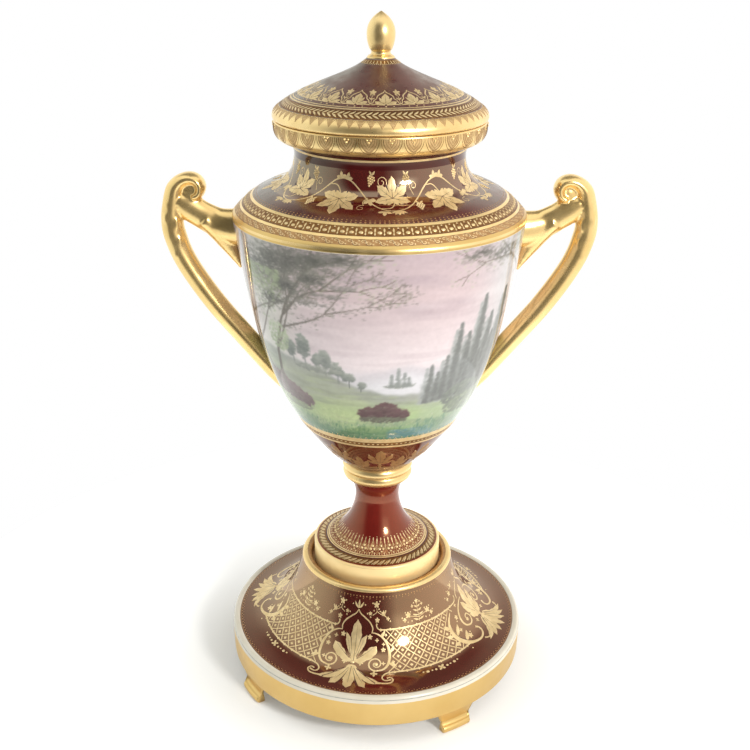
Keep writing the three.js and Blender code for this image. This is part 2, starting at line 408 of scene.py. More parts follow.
def each(shape, *rows):
    """One kind of shape, drawn once for every row of its arguments."""
    return join(*[shape(*row) for row in rows])


def pairs(shape, *rows):
    """The same, every shape together with its mirror image about u = 0."""
    return both(each(shape, *rows))


def polar(length, angle):
    """The place at a length from (0, 0) in a direction in degrees."""
    return np.array((math.cos(math.radians(angle)), math.sin(math.radians(angle)))) * length


def floret(at, radius, petals=5, first=90.0):
    return each(petal, *[(at, at + polar(radius, first + 360.0 * k / petals), radius * 0.85, 0, 0.62)
                         for k in range(petals)])


def spiral(at, start, end, r0, r1, width0, width1, step=0.6):
    """A curling stroke about a point, from one direction and radius to another (degrees)."""
    t = np.linspace(0, 1, max(5, int(abs(end - start) / 25) + 1))
    a = np.radians(start + (end - start) * t)
    r = r0 + (r1 - r0) * t
    pts = np.stack([at[0] + r * np.cos(a), at[1] + r * np.sin(a)], 1)
    return stroke(pts, width0 + (width1 - width0) * t, step=step)


def around(count, first=0.0):
    return [first + 360.0 * k / count for k in range(count)]


class Film:
    """Ornament laid on one piece, kept apart by finish until it becomes one object."""

    def __init__(self, name, node):
        self.name, self.node = name, node
        self.skin = None
        self.parts = {}

    def add(self, finish, sheet, turns):
        """Lays a flat shape on the skin that is set, once for each turn."""
        points, quads = sheet
        for turn in turns:
            self.parts.setdefault(finish, []).append((self.skin.place(points, turn), quads))

    def build(self, finishes):
        slots = [np.full(sum(len(quads) for _, quads in sheets), slot)
                 for slot, sheets in enumerate(self.parts.values())]
        verts, faces = join(*[sheet for sheets in self.parts.values() for sheet in sheets])
        mesh = array_mesh(self.name, verts, [faces], [finishes[f] for f in self.parts], slots)
        piece = new_object(self.name, mesh)
        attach(piece, "root")
        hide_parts(self.node)


# ---- materials ----

def feed(tree, made, inputs):
    """Sets a node's sockets to values, or links them where the value is another's output."""
    for socket, value in inputs.items():
        if isinstance(value, bpy.types.NodeSocket):
            tree.links.new(value, made.inputs[socket])
        else:
            made.inputs[socket].default_value = value


def node(tree, kind, inputs=(), **settings):
    """The outputs of a new shader node with these inputs and settings."""
    made = tree.nodes.new("ShaderNode" + kind)
    for key, value in settings.items():
        setattr(made, key, value)
    feed(tree, made, dict(inputs))
    return made.outputs


def shader_of(name, **values):
    material = bpy.data.materials.new(name)
    material.use_nodes = True
    tree = material.node_tree
    shader = tree.nodes["Principled BSDF"]
    feed(tree, shader, {key.replace("_", " "): value for key, value in values.items()})
    return material, tree, shader


def object_place(tree):
    return node(tree, "TexCoord")["Object"]


def noise(tree, scale, detail, stretch=(1, 1, 1)):
    """Noise over object space, in metres, drawn out along an axis by stretch."""
    place = node(tree, "Mapping", {"Vector": object_place(tree), "Scale": stretch})["Vector"]
    return node(tree, "TexNoise", {"Vector": place, "Scale": scale, "Detail": detail})["Fac"]


def span(tree, value, low, high, first, last, **settings):
    """Turns a value between low and high into one between first and last."""
    return node(tree, "MapRange", {"Value": value, "From Min": low, "From Max": high,
                                   "To Min": first, "To Max": last}, **settings)["Result"]


def pooled(tree, scale, detail, edge, dark, light):
    """A colour that drifts between two over noise; edge is where the dark one ends."""
    made = tree.nodes.new("ShaderNodeValToRGB")
    tree.links.new(noise(tree, scale, detail), made.inputs["Fac"])
    for element, place, color in zip(made.color_ramp.elements, (edge, 1 - edge), (dark, light)):
        element.position = place
        element.color = (*color, 1)
    return made.outputs["Color"]


def worn(tree, scale, detail, low, high):
    """A roughness that drifts between two over noise."""
    return span(tree, noise(tree, scale, detail), 0.3, 0.7, low, high)


def relief(tree, height, strength, depth_mm):
    return node(tree, "Bump", {"Strength": strength, "Distance": depth_mm * M,
                               "Height": height})["Normal"]


def maroon_glaze(name, dark, light, sheen, rough=0.07, ior=2.45, rise=None, low=1.75):
    """Deep maroon lustre glaze: its sheen is tan or olive, colour pools a little, and the
    surface waves faintly. With rise, two heights in mm, the index of refraction grows from
    low at the first to its full value at the second."""
    material, tree, shader = shader_of(name, IOR=ior, Specular_Tint=(*sheen, 1))
    feed(tree, shader, {"Base Color": pooled(tree, 45, 4, 0.3, dark, light),
                        "Roughness": worn(tree, 160, 2, 0.85 * rough, 1.5 * rough),
                        "Normal": relief(tree, noise(tree, 70, 2), 0.25, 0.12)})
    if rise:
        split = node(tree, "SeparateXYZ", {0: object_place(tree)})
        feed(tree, shader, {"IOR": span(tree, split["Z"], rise[0] * M, rise[1] * M, low, ior)})
    return material


def gold(name, dark, light, roughness, scale, wave, depth_mm, metallic=1.0, stretch=(1, 1, 1)):
    """Gilding: scale is that of its tint, wave and depth those of its fine grain."""
    material, tree, shader = shader_of(name, Metallic=metallic)
    grain = noise(tree, wave, 3, stretch)
    feed(tree, shader, {"Base Color": pooled(tree, scale, 4, 0.32, dark, light),
                        "Roughness": worn(tree, scale * 2.3, 3, roughness * 0.8, roughness * 1.25),
                        "Normal": relief(tree, grain, 0.35, depth_mm)})
    return material


def ivory_glaze():
    material, tree, shader = shader_of("ivory_glaze", Coat_Weight=0.2, Coat_Roughness=0.05)
    tint = pooled(tree, 60, 4, 0.3, (0.64, 0.59, 0.48), (0.71, 0.66, 0.56))
    feed(tree, shader, {"Base Color": tint, "Roughness": worn(tree, 300, 2, 0.16, 0.26)})
    return material


def paint_line(name, dark, light, roughness):
    material, tree, shader = shader_of(name)
    feed(tree, shader, {"Base Color": pooled(tree, 400, 3, 0.35, dark, light),
                        "Roughness": worn(tree, 260, 2, roughness * 0.8, roughness * 1.2)})
    return material


def make_finishes():
    deep = (0.070, 0.0042, 0.0052), (0.105, 0.0085, 0.0085)
    return {
        "maroon": maroon_glaze("maroon_glaze", *deep, (0.90, 1.0, 0.76), 0.20, 1.98),
        "dome": maroon_glaze("dome_glaze", *deep, (0.92, 1.0, 0.78), 0.30, 2.3),
        "umber": maroon_glaze("neck_glaze", *deep, (1.0, 0.90, 0.62)),
        # neck_shade: a darker, less glossy copy of the maroon glaze for the top of the neck, as
        # painted shade under the overhanging mouth
        "neck_shade": maroon_glaze("neck_shade_glaze", (0.050, 0.0050, 0.0060), (0.075, 0.0085, 0.0090),
                             (1.0, 0.90, 0.70), 0.10, 1.55),
        "russet": maroon_glaze("russet_glaze", (0.062, 0.0062, 0.0060), (0.092, 0.0105, 0.0092),
                               (1.0, 0.72, 0.40), 0.06, 3.2, (29, 44), 1.72),
        "cherry": maroon_glaze("cherry_glaze", (0.125, 0.0085, 0.0070), (0.180, 0.0150, 0.0110),
                               (1.0, 0.58, 0.33), 0.12, 1.95),
        "wine": maroon_glaze("cup_glaze", (0.085, 0.0100, 0.0060), (0.125, 0.0190, 0.0110),
                             (1.0, 0.76, 0.46), 0.08, 1.7),
        "gold": gold("burnished_gold", (0.82, 0.58, 0.25), (0.90, 0.67, 0.32),
                     0.30, 55, 90, 0.06, 0.84),
        "bright": gold("polished_gold", (0.85, 0.59, 0.235), (0.92, 0.67, 0.30),
                       0.23, 55, 90, 0.08, 0.80),
        # band: the satin gilding made paler and mostly diffuse; partly the foot band's own more matte
        # satin, partly painted light that lifts a band which would mirror the shaded floor
        "band": gold("lit_pale_satin_gold", (0.95, 0.70, 0.33), (0.99, 0.77, 0.39),
                     0.38, 40, 900, 0.02, 0.36, (1, 1, 3)),
        "amber": gold("dull_gold", (0.36, 0.195, 0.075), (0.50, 0.29, 0.125),
                      0.45, 350, 900, 0.03, 0.7),
        "satin": gold("satin_gold", (0.67, 0.455, 0.165), (0.72, 0.505, 0.20),
                      0.36, 40, 900, 0.02, 1.0, (1, 1, 3)),
        "gilt": gold("painted_gold", (0.70, 0.52, 0.26), (0.86, 0.67, 0.37),
                     0.44, 260, 700, 0.03, 0.65),
        "bronze": gold("matt_bronze_gold", (0.20, 0.095, 0.032), (0.32, 0.165, 0.060),
                       0.42, 350, 900, 0.03),
        "etched": gold("etched_gold", (0.50, 0.32, 0.14), (0.66, 0.46, 0.22),
                       0.45, 400, 1100, 0.03, 0.8),
        "ivory": ivory_glaze(),
        "ink": paint_line("maroon_linework", (0.045, 0.007, 0.006), (0.085, 0.018, 0.010), 0.35),
        "grey": paint_line("grey_linework", (0.30, 0.30, 0.26), (0.42, 0.41, 0.36), 0.3),
    }


# ---- profiles ----

def stand_outline():
    inner = STAND_R - STAND_WALL
    under = BRIM_Z - STAND_WALL
    lip = LIP_TOP - LIP_SINK
    o = (Outline(0, WELL_FLOOR - 5)
         .line("ivory", (LIP_R - STAND_WALL - 1.5, WELL_FLOOR - 5))
         .curve("ivory", (47, 52), (58, 33), (BRIM_IN_R, under + 0.8), 20)
         .line("ivory", (inner - 0.6, under), (inner, under - 0.6), (inner, SIDE_BOTTOM + 0.4))
         .curve("satin", (inner, SIDE_BOTTOM), (inner + 0.6, SIDE_BOTTOM), 3)
         .line("satin", (STAND_R - 1.0, SIDE_BOTTOM))
         .curve("satin", (STAND_R - 0.35, SIDE_BOTTOM), (STAND_R - 0.35, SIDE_BOTTOM + 0.9), 4)
         .line("satin", (STAND_R, SIDE_TOP)).mark("rim")
         .curve("ivory", (STAND_R - 0.1, RIM_TOP), (90.2, RIM_TOP), 10)
         .curve("ivory", (BRIM_R + 0.1, RIM_TOP), (BRIM_R, BRIM_Z), 5).mark("brim")
         .line("russet", (BRIM_IN_R + 4, BRIM_Z + 0.4), (BRIM_IN_R, BRIM_Z + 0.9))
         .curve("russet", (60.5, 37.5), (51.5, 54), (LIP_R - 0.5, lip - 2.6), 60).mark("bell_top")
         .curve("gold", (LIP_R - 0.3, lip - 2.3), (LIP_R, lip - 2.0), 3)
         .curve("gold", (LIP_R - 0.2, lip), (WELL_R + 2.8, lip), 10)
         # the inner face of the lip and the floor of the well take the dark dull gold as painted
         # shade for the gap under the foot
         .curve("amber", (WELL_R + 0.3, lip), (WELL_R, lip - 1.6), 6)
         .line("amber", (WELL_R, WELL_FLOOR), (0, WELL_FLOOR)))
    return o.rings("rim", (2.0, 2.5, "grey"))


def foot_outline():
    top = PART_LINE
    o = (Outline(0, STEM_Z + 4)
         .line("ivory", (STEM_R - 6.5, STEM_Z + 2))
         .curve("ivory", (STEM_R - 6, 98), (22, 86), (FOOT_R - 5, FOOT_BAND_TOP - 5), 16)
         .line("ivory", (FOOT_R - 4.5, FOOT_BOTTOM), (FOOT_R - 0.8, FOOT_BOTTOM))
         # the foot's outer band takes the paler, lit copy of the satin gilding: partly painted light
         .curve("band", (FOOT_R, FOOT_BOTTOM), (FOOT_R, FOOT_BOTTOM + 0.8), 3)
         .line("band", (FOOT_R, FOOT_BAND_TOP - 1.4))
         .curve("band", (FOOT_R, FOOT_BAND_TOP), (FOOT_R - 1.6, FOOT_BAND_TOP + 0.1), 5)
         .line("cherry", (FOOT_R - 1.8, FOOT_BAND_TOP + 0.3)).mark("disc")
         .curve("cherry", (26, 89), (14.6, 101), (STEM_R, STEM_Z), 50)
         .curve("cherry", (STEM_R - 0.1, 122), (14.6, 126), (COLLAR_R - 3.8, top - 7), 12)
         .mark("stem_top")
         .curve("gold", (COLLAR_R - 3.4, top - 6.5), (COLLAR_R - 2.8, top - 6.3), 2)
         .curve("gold", (COLLAR_R + 0.6, top - 4.6), (COLLAR_R - 0.2, top - 1.6), 8)
         .curve("gold", (COLLAR_R - 0.4, top - 0.4), (COLLAR_R - 1.2, top), 4)
         .line("ivory", (0, top)))
    return o.rings("disc", (0.6, 5.6, "bronze"), (5.6, 6.3, "ink"), (6.5, 8.3, "gilt"),
                   (7.2, 7.6, "bronze"))


def body_outline():
    """Outside and inside of the vase as one closed skin, rim included."""
    bottom = BODY_BOTTOM
    wide = SHOULDER_R - VASE_WALL
    o = (Outline(0, bottom)
         .line("ivory", (COLLAR_R - 1.2, bottom))
         .curve("gold", (COLLAR_R - 0.1, bottom + 0.2), (COLLAR_R + 0.1, bottom + 1.4), 4)
         .curve("gold", (COLLAR_R + 0.4, bottom + 3.4), (COLLAR_R - 0.9, CUP_Z), 8).mark("cup")
         .curve("wine", (67.5, 184), (73.8, 240), (SHOULDER_R - 0.3, SHOULDER_Z - 2), 110)
         .line("gold", (SHOULDER_R, SHOULDER_Z))
         .curve("gold", (SHOULDER_R + 0.1, SHOULDER_Z + 1.4),
                (SHOULDER_R - 0.4, SHOULDER_Z + 2.4), 4).mark("shoulder")
         .curve("maroon", (75, 303.5), (68.5, 308.5), (60, 310.9), 30)
         .curve("umber", (51.5, 313.3), (47, 319.5), (NECK_R, NECK_Z), 24)
         # the top of the neck, under the mouth, takes the darker glaze copy as painted shade
         .curve("neck_shade", (NECK_R, 331), (NECK_R + 0.8, 334.5), (NECK_R + 3, 335.4), 8)
         .line("gold", (53.4, 335.9)).mark("mouth")
         .curve("gold", (MOUTH_R + 0.1, 337.6), (MOUTH_R, 343.2), 14)
         .line("gold", (MOUTH_R, MOUTH_Z - 0.9)).mark("mouth_top")
         .curve("gold", (MOUTH_R, MOUTH_Z), (MOUTH_R - 0.9, MOUTH_Z), 4)
         .line("ivory", (MOUTH_BORE + 0.8, MOUTH_Z))
         .curve("ivory", (MOUTH_BORE + 0.1, MOUTH_Z), (MOUTH_BORE + 0.1, MOUTH_Z - 0.8), 3)
         .line("ivory", (MOUTH_BORE, NECK_Z))
         .curve("ivory", (MOUTH_BORE - 0.2, 316), (48, 308.5), (59, 305.4), 12)
         .curve("ivory", (66, 303.2), (71, 299.5), (wide - 1.6, SHOULDER_Z + 1.2), 8)
         .line("ivory", (wide - 0.5, SHOULDER_Z - 3))
         .curve("ivory", (69, 240), (62, 187), (COLLAR_R - 3.2, CUP_Z + 5.4), 30)
         .line("ivory", (0, CUP_Z + 5.4)))
    o.rings("cup", (0.0, 2.4, "etched"), (38.6, 40.4, "gilt"), (40.4, 43.6, "bronze"),
            (43.6, PICTURE_LOW, "gilt"), (PICTURE_LOW, PICTURE_HIGH, "ivory"),
            (PICTURE_HIGH, PICTURE_HIGH + 1.2, "satin"))
    return o.rings("shoulder", (0.0, 2.0, "satin"), (2.0, 5.8, "amber"), (5.8, 7.3, "gold"),
                   (7.3, 13.3, "bronze"), (13.3, 15.0, "gold"), (53.5, 54.7, "gilt"))


def lid_outline():
    bottom = LID_BOTTOM
    o = (Outline(0, DOME_TOP - 6.5)
         .line("ivory", (8, DOME_TOP - 9.5))
         .curve("ivory", (18, 364), (32, 360), (FLANGE_R - 3, 356.4), 14)
         .line("ivory", (FLANGE_R - 3, FLANGE_BOTTOM), (FLANGE_R - 0.6, FLANGE_BOTTOM))
         .line("ivory", (FLANGE_R - 0.1, FLANGE_BOTTOM + 1.0), (FLANGE_R, bottom))
         .line("gold", (LID_R - 1.6, bottom))
         .curve("gold", (LID_R - 0.6, bottom), (LID_R - 0.2, bottom + 1.0), 4).mark("edge")
         .curve("gold", (LID_R + 0.5, bottom + 4.4), (LID_R - 4, LID_EDGE_TOP), 16)
         .curve("dome", (42, 364), (15, 370.6), (FINIAL_R - 0.2, DOME_TOP), 60).mark("dome_top")
         .curve("gold", (FINIAL_R - 0.1, DOME_TOP + 0.8), (FINIAL_R - 1.0, DOME_TOP + 1.2), 4)
         .curve("gold", (5.1, DOME_TOP + 1.9), (5.1, DOME_TOP + 2.8), 5)
         .curve("gold", (5.1, DOME_TOP + 3.6), (5.9, DOME_TOP + 4.3), 4)
         .curve("gold", (7.0, 384.9), (FINIAL_R, 387.4), (FINIAL_R, 390.6), 12)
         .curve("gold", (FINIAL_R, 396.2), (3.9, 399.6), (0, TIP_Z), 20))
    return o.rings("edge", (8.3, 14.8, "bronze"), (15.2, 16.0, "gilt"), (16.8, 17.4, "gilt"),
                   (57.4, 60.2, "bronze"))


# ---- ornament of the stand ----

MOTIF_FIRST = -12.2
BELL_REACH = 60.0
QUARTER = BELL_REACH * math.pi / 2
LATTICE_LOW = 16.6
LATTICE_HIGH = 41.8
LATTICE_PITCH = 6.0
PANEL_U = 43.5
# the stand's scroll lines are this much bolder than their listed widths
HEAVY = 1.08


def scroll(points, width):
    """A bold scroll line of the stand's cartouches."""
    return stroke(points, np.array(width) * HEAVY)


def front_motif():
    """An ogee and C-scroll cartouche with a palmette above and a fan of leaves below."""
    return join(
        pairs(scroll,
              ([(0, 53.6), (1.6, 51.2), (5, 48.9), (8.4, 46.2), (10.3, 43), (10.1, 40.6)],
               (0.7, 1.0, 1.2, 1.1, 1.0, 0.8)),
              ([(9.7, 40.2), (13.4, 39.4), (17.6, 36.4), (20.1, 31.2), (20.3, 26.2), (19.1, 21.6),
                (16.4, 18.6), (12.6, 17.6)], (0.7, 1.0, 1.5, 2.0, 1.9, 1.6, 1.3, 1.1)),
              ([(13.2, 45.6), (12.9, 44), (14.2, 42.3), (17, LATTICE_HIGH), (20.5, LATTICE_HIGH)],
               (1.6, 0.9, 1.0, 1.0, 1.0)),
              ([(19.8, 11.6), (16.8, 11.2), (15.6, 13.4), (17.4, 15.8), (21, LATTICE_LOW)],
               (1.3, 0.8, 0.9, 1.0, 1.0)),
              ([(3.0, 17.8), (9, 12.2), (14, 9.6), (18.6, 9.2), (20.6, 11.2), (19.6, 13.2),
                (17.8, 12.8)], (0.7, 1.0, 1.3, 1.2, 0.9, 0.8, 1.1)),
              ([(12.9, 55), (13, 52.4), (10.2, 50.6)], 0.5),
              ([(13, 53), (15.4, 51.4), (19.4, 49.6), (21, 47.8)], 0.5)),
        both(spiral((12.6, 21.9), -90, -600, 4.3, 0.9, 1.15, 0.8)),
        each(petal, ((0, 54.4), (0, 59.6), 2.2, 0, 0.55), ((0.2, 21.6), (0, 47.2), 8.8, 0, 0.74, 4),
             ((0, 20.6), (0, 4.2), 6.2, 0, 0.76, 4)),
        pairs(petal, ((0.2, 54.4), (3.3, 58.4), 1.9, -0.15),
              ((1.0, 24.5), (6.8, 38.8), 5.0, 0.10, 0.66, 1),
              ((1.0, 22.8), (12.9, 32.4), 7.4, -0.15, 0.72, 3),
              ((1.2, 22.4), (8.0, 25.4), 3.4, -0.12, 0.66),
              ((19.4, 22.4), (23.6, 19.6), 2.6, 0.2, 0.55, 1),
              ((20.6, 28.6), (23.4, 32.6), 2.4, -0.2, 0.55, 1),
              ((16.6, 36.8), (18.6, 41.0), 2.2, 0.2, 0.55),
              ((0.6, 20.4), (8.0, 5.6), 5.8, -0.10, 0.74, 3),
              ((1.2, 20.2), (15.6, 9.0), 5.2, -0.24, 0.62, 2)),
        pairs(floret, ((4.3, 22.0), 1.6, 4), ((11.6, 15.8), 1.9, 4), ((8.7, 37.6), 1.7),
              ((13.2, 35.8), 1.3, 4), ((16.9, 30.2), 1.5), ((17.2, 33.4), 1.1, 4),
              ((16.6, 22.2), 1.2, 4), ((12.9, 57.0), 2.2), ((8.4, 51.6), 1.4),
              ((17.9, 51.6), 1.8), ((13.4, 47.6), 1.7), ((21.0, 48.2), 1.4, 4)),
        dot((0, 22.2), 1.1, 0.35), both(dot((12.6, 21.9), 1.2, 0.3)),
        seeds((11.0, 53.4), (14.6, 54.2), (15.6, 52.8), (10.2, 57.8), (15.2, 59.0),
              (8.6, 49.4), (19.4, 52.9), (6.4, 51.4), (4.6, 56.6), (22.4, 46.6)))


def seeds(*places):
    """Small drops scattered between the flowers, on both sides."""
    return pairs(dot, *[(at, 0.55) for at in places])


def front_veins():
    """Dark vein lines drawn over the gold of the front motif."""
    long, side = (0.9, 0.25), (0.75, 0.2)
    return join(
        each(vein, ([(0.4, 23), (0, 44)], long), ([(0, 19.5), (0, 8)], long)),
        pairs(vein, ([(1.6, 25.5), (5.0, 35.5)], side), ([(2.2, 24.4), (11.4, 31.6)], side),
              ([(1.4, 18.6), (6.4, 9.4)], side), ([(2.6, 18.6), (12.4, 11.8)], side),
              ([(1.1, 27), (3.2, 36), (3.6, 38.4)], (0.5, 0.7, 0.1)),
              ([(1.0, 18.0), (4.5, 6.6)], (0.3, 1.7)),
              ([(2.6, 18.4), (8.4, 13.2), (12.4, 9.2)], (0.3, 0.8, 1.7))))


def side_motif():
    """The wider cartouche of the two sides: leaf-wrapped C-scrolls round a palmette."""
    return join(
        pairs(scroll,
              ([(24.5, 38.8), (28.8, 34.6), (30.4, 29.4), (29.6, 24), (26.6, 18.6), (21.8, 15.2),
                (16.6, 13.8), (12.6, 15.4), (11.3, 18.4), (12.9, 20.8)],
               (0.6, 1.7, 3.3, 3.8, 3.0, 1.9, 1.4, 1.2, 1.1, 1.7)),
              ([(5.6, 40.2), (10.2, 39.2), (15.4, 36), (18.2, 31), (17.6, 26.4), (14.0, 24.1),
                (10.4, 24.9), (8.9, 27.8), (10.6, 30.4), (13.2, 29.6), (12.9, 27.7)],
               (0.7, 1.1, 1.6, 1.9, 1.6, 1.3, 1.1, 1.1, 1.0, 0.9, 1.5)),
              ([(15.6, 12.2), (13.6, 10.3), (10.2, 10.4), (7.2, 13.2), (5.2, 17.4), (2.4, 20.2)],
               (1.5, 1.0, 1.4, 1.8, 1.6, 0.8)),
              ([(0, 52.6), (2.0, 50.2), (6, 47.8), (9.6, 44.6), (10.2, 41.6)],
               (0.7, 1.0, 1.2, 1.1, 0.8)),
              ([(13.4, 45.4), (13.2, 43.6), (15, 42.1), (18, LATTICE_HIGH), (24, LATTICE_HIGH)],
               (1.5, 0.9, 1.0, 1.0, 1.0))),
        each(petal, ((0, 53.4), (0, 58.8), 2.2, 0, 0.55), ((0, 21.6), (0, 46.6), 9.4, 0, 0.72, 4),
             ((0, 20.6), (0, 4.4), 6.0, 0, 0.6, 4)),
        pairs(petal, ((28.6, 24.6), (23.6, 30.6), 3.4, 0.1), ((25.6, 18.6), (20.6, 24.2), 3.2, 0.1),
              ((0.2, 53.4), (3.4, 57.6), 1.9, -0.15),
              ((0.8, 23.4), (8.6, 37.8), 7.4, -0.06, 0.62, 3),
              ((0.8, 22.4), (8.0, 27.8), 5.2, -0.1, 0.6, 2),
              ((0.5, 20.4), (5.4, 5.2), 5.4, -0.05, 0.62, 3),
              ((0.8, 20.2), (10.2, 6.4), 5.4, -0.12, 0.62, 3),
              ((1.0, 20.0), (14.8, 8.6), 5.0, -0.2, 0.6, 3),
              ((30.0, 30.6), (34.6, 34.0), 3.0, -0.15, 0.55, 1),
              ((30.8, 26.0), (36.0, 27.6), 3.2, -0.12, 0.55, 1),
              ((29.4, 21.4), (34.4, 20.6), 3.0, -0.12, 0.55, 1)),
        pairs(floret, ((20.8, 19.8), 1.9), ((23.6, 26.2), 1.4, 4), ((21.0, 33.8), 1.7),
              ((16.4, 40.0), 1.3, 4), ((6.8, 21.6), 1.5, 4), ((17.6, 49.0), 1.9),
              ((21.4, 46.6), 1.4, 4), ((12.8, 52.4), 1.6)),
        dot((0, 21.8), 1.2, 0.35), both(dot((13.0, 27.6), 1.3, 0.3)),
        seeds((22.4, 21.8), (19.0, 21.6), (22.2, 31.6), (15.0, 51.0), (19.8, 51.2),
              (10.6, 54.0), (15.4, 53.6), (23.6, 48.2), (4.4, 50.8), (26.6, 13.4)))


def side_veins():
    side = (0.7, 0.2)
    return join(
        vein([(0, 23), (0, 42.5)], (0.8, 0.2)),
        pairs(vein, ([(1.4, 25), (6.8, 34.4)], side), ([(1.2, 18.4), (3.6, 9.0)], side),
              ([(1.9, 18.2), (6.6, 9.8)], side), ([(2.6, 18.4), (9.2, 11.4)], side),
              ([(28.6, 33.6), (29.3, 28.8), (28.2, 23.8), (25.4, 19.6), (21, 16.6)],
               (0.2, 0.55, 0.6, 0.5, 0.2))))


def in_lattice(u, v):
    """Whether a place between two motifs (u from the front motif's middle) holds lattice."""
    near = np.interp(v, (16.6, 20, 24, 31, 37, 40.5, 41.8),
                     (20.5, 19.0, 20.6, 21.2, 18.4, 14.2, 13.5))
    far = np.interp(v, (16.6, 18.6, 24, 29, 34, 38, 41.8), (25, 28.4, 32, 33, 31.6, 27, 20))
    return LATTICE_LOW - 0.1 < v < LATTICE_HIGH + 0.1 and near < u < QUARTER - far


def lattice():
    """The gold net of one quarter: crossing lines with a small lozenge in every mesh."""
    wide = BELL_REACH * math.radians(LATTICE_PITCH)
    tall = (LATTICE_HIGH - LATTICE_LOW) / 4
    lines, lozenges = [], []
    for column in range(0, 32):
        for row in range(-1, 10):
            if (column + row) % 2:
                continue
            a = np.array([column * wide / 2, LATTICE_LOW + row * tall / 2])
            for side in (-1, 1):
                b = a + (side * wide / 2, tall / 2)
                if in_lattice(*(a + b) / 2):
                    lines.append(stroke([a, b], 0.72, step=1.7, across=2))
            u, v = a + (0, tall / 2)
            if all(in_lattice(u + off, v) for off in (-1.0, 0, 1.0)):
                lozenges.append(dot((u, v), 1.15, sides=4))
    return join(*lines, *lozenges)


def panel_spray():
    """A loose spray of small flowers for the plain panel over the lattice."""
    leaf_rows = ((45.2, 4.1), (48.0, 4.4), (50.6, 3.4), (53.0, 2.4))
    return join(
        stroke([(0, 43.6), (0.2, 47), (-0.1, 51), (0, 55.4)], 0.5),
        pairs(petal, *[((0.2, v - 0.6), (w, v + 0.6), 1.5, -0.12) for v, w in leaf_rows]),
        floret((0, 56.0), 1.5),
        pairs(floret, ((7.8, 48.6), 2.1), ((10.8, 46.0), 1.5, 4), ((4.0, 53.4), 1.1, 4)),
        pairs(stroke, ([(0.2, 46.0), (4.4, 47.2), (7.4, 48.2)], 0.45),
              ([(7.4, 48.2), (9.4, 47.4), (10.8, 45.8)], 0.45)),
        seeds((5.8, 50.2), (9.8, 50.4), (12.4, 47.4), (2.4, 55.2), (5.6, 44.6), (8.6, 44.4)))


def edge_spray():
    return join(floret((0, 12.9), 2.2, 4, 45),
                pairs(dot, ((3.2, 12.7), 0.8), ((5.2, 12.9), 0.6), ((7.6, 12.9), 1.0),
                      ((9.8, 13.2), 0.6)))


def stand_ornament(outline, finishes):
    film = Film("stand_gilding", "stand")
    film.skin = Skin(outline, "brim", "bell_top", BELL_REACH)
    net = lattice()
    mirrored = np.array([QUARTER, 0, 0]) - net[0] * (1, -1, -1), net[1][:, ::-1]
    middle = math.degrees(PANEL_U / BELL_REACH)
    # each motif has on its right a quarter of net with a border under and over it (how far each
    # border keeps off both motifs), and in degrees the place of a panel and its edge's shift
    for first, motif, veins, mesh, borders, panel, shift in (
            (MOTIF_FIRST, front_motif(), front_veins(), net, ((20.5, 24.5), (20.0, 23.5)),
             middle, 2),
            (MOTIF_FIRST + 90, side_motif(), side_veins(), mirrored, ((24.5, 20.5), (23.5, 20.0)),
             90 - middle, -2)):
        turns = around(2, first)
        film.add("gilt", motif, turns)
        film.add("ink", veins, turns)
        film.add("gilt", mesh, turns)
        for v, (start, end) in zip((LATTICE_LOW, LATTICE_HIGH), borders):
            film.add("gilt", stroke([(start, v), (QUARTER - end, v)], 1.3, step=1.8), turns)
        film.add("gilt", panel_spray(), around(2, first + panel))
        film.add("gilt", edge_spray(), around(2, first + panel + shift))
    fringe = each(speck, ((0, 1.4), 0.42), ((1.05, 2.2), 0.26))
    for shape, count in ((speck((0, 61.7), 0.55), 150), (speck((0, 60.5), 0.38), 75),
                         (fringe, 180)):
        film.add("amber", shape, around(count))
    edge = [(u, 0.6) for u in np.linspace(0, math.tau * BELL_REACH, 300)]
    film.add("amber", stroke(edge, 0.4, curved=False), (0.0,))
    film.build(finishes)


# ---- ornament of the foot ----

FOOT_REACH = 30.0
SPIKES = 30


def foot_ornament(outline, finishes):
    film = Film("foot_gilding", "foot")
    film.skin = Skin(outline, "disc", "stem_top", FOOT_REACH)
    pitch = math.tau * FOOT_REACH / SPIKES
    spike = join(petal((0, 15.2), (0, 19.4), 1.3, fat=0.72),
                 petal((0, 16.0), (0, 10.8), 0.6, fat=0.3), speck((0, 20.0), 0.42))
    film.add("gilt", spike, around(SPIKES))
    between = join(petal((0, 17.4), (0, 19.8), 1.1, fat=0.6),
                   thin([(0, 17.6), (0, 15.2)], (0.6, 0.4)),
                   each(dot, ((0, 14.5), 1.0, 0.4), ((-1.25, 12.5), 1.0, 0.4),
                        ((1.25, 12.5), 1.0, 0.4), ((0, 10.8), 0.6, 0.2)))
    film.add("gilt", between, around(SPIKES, 6))
    film.add("gilt", speck((0, 9.7), 0.7), around(60, 3))
    film.add("gilt", speck((0, 8.8), 0.4), around(120))
    net = pairs(thin, ([(0, 8.8), (pitch / 2, 15.6), (pitch * 0.36, 17.2)], 0.42, LIFT, False),
                ([(0, 15.6), (pitch / 2, 8.8)], 0.42, LIFT, False),
                ([(pitch / 2, 17.4), (pitch * 0.2, 13.6), (0, 11.4)], 0.4, LIFT, False))
    film.add("amber", net, around(SPIKES))
    strand = each(petal, ((-1.7, 1.0), (1.5, 4.8), 2.3, 0.2, 0.55),
                  ((0.4, 1.3), (2.4, 3.2), 1.0, 0.16))
    film.add("gilt", strand, around(60))
    film.add("ink", thin([(-1.9, 1.3), (-0.6, 3.4), (0.6, 5.3)], 0.4, LIFT + 0.03), around(60))
    film.build(finishes)


# ---- ornament of the vase ----

CUP_REACH = 35.0
NECK_REACH = 57.0
MOUTH_REACH = 57.0
VINE_WAVES = 6
SCALLOPS = 96


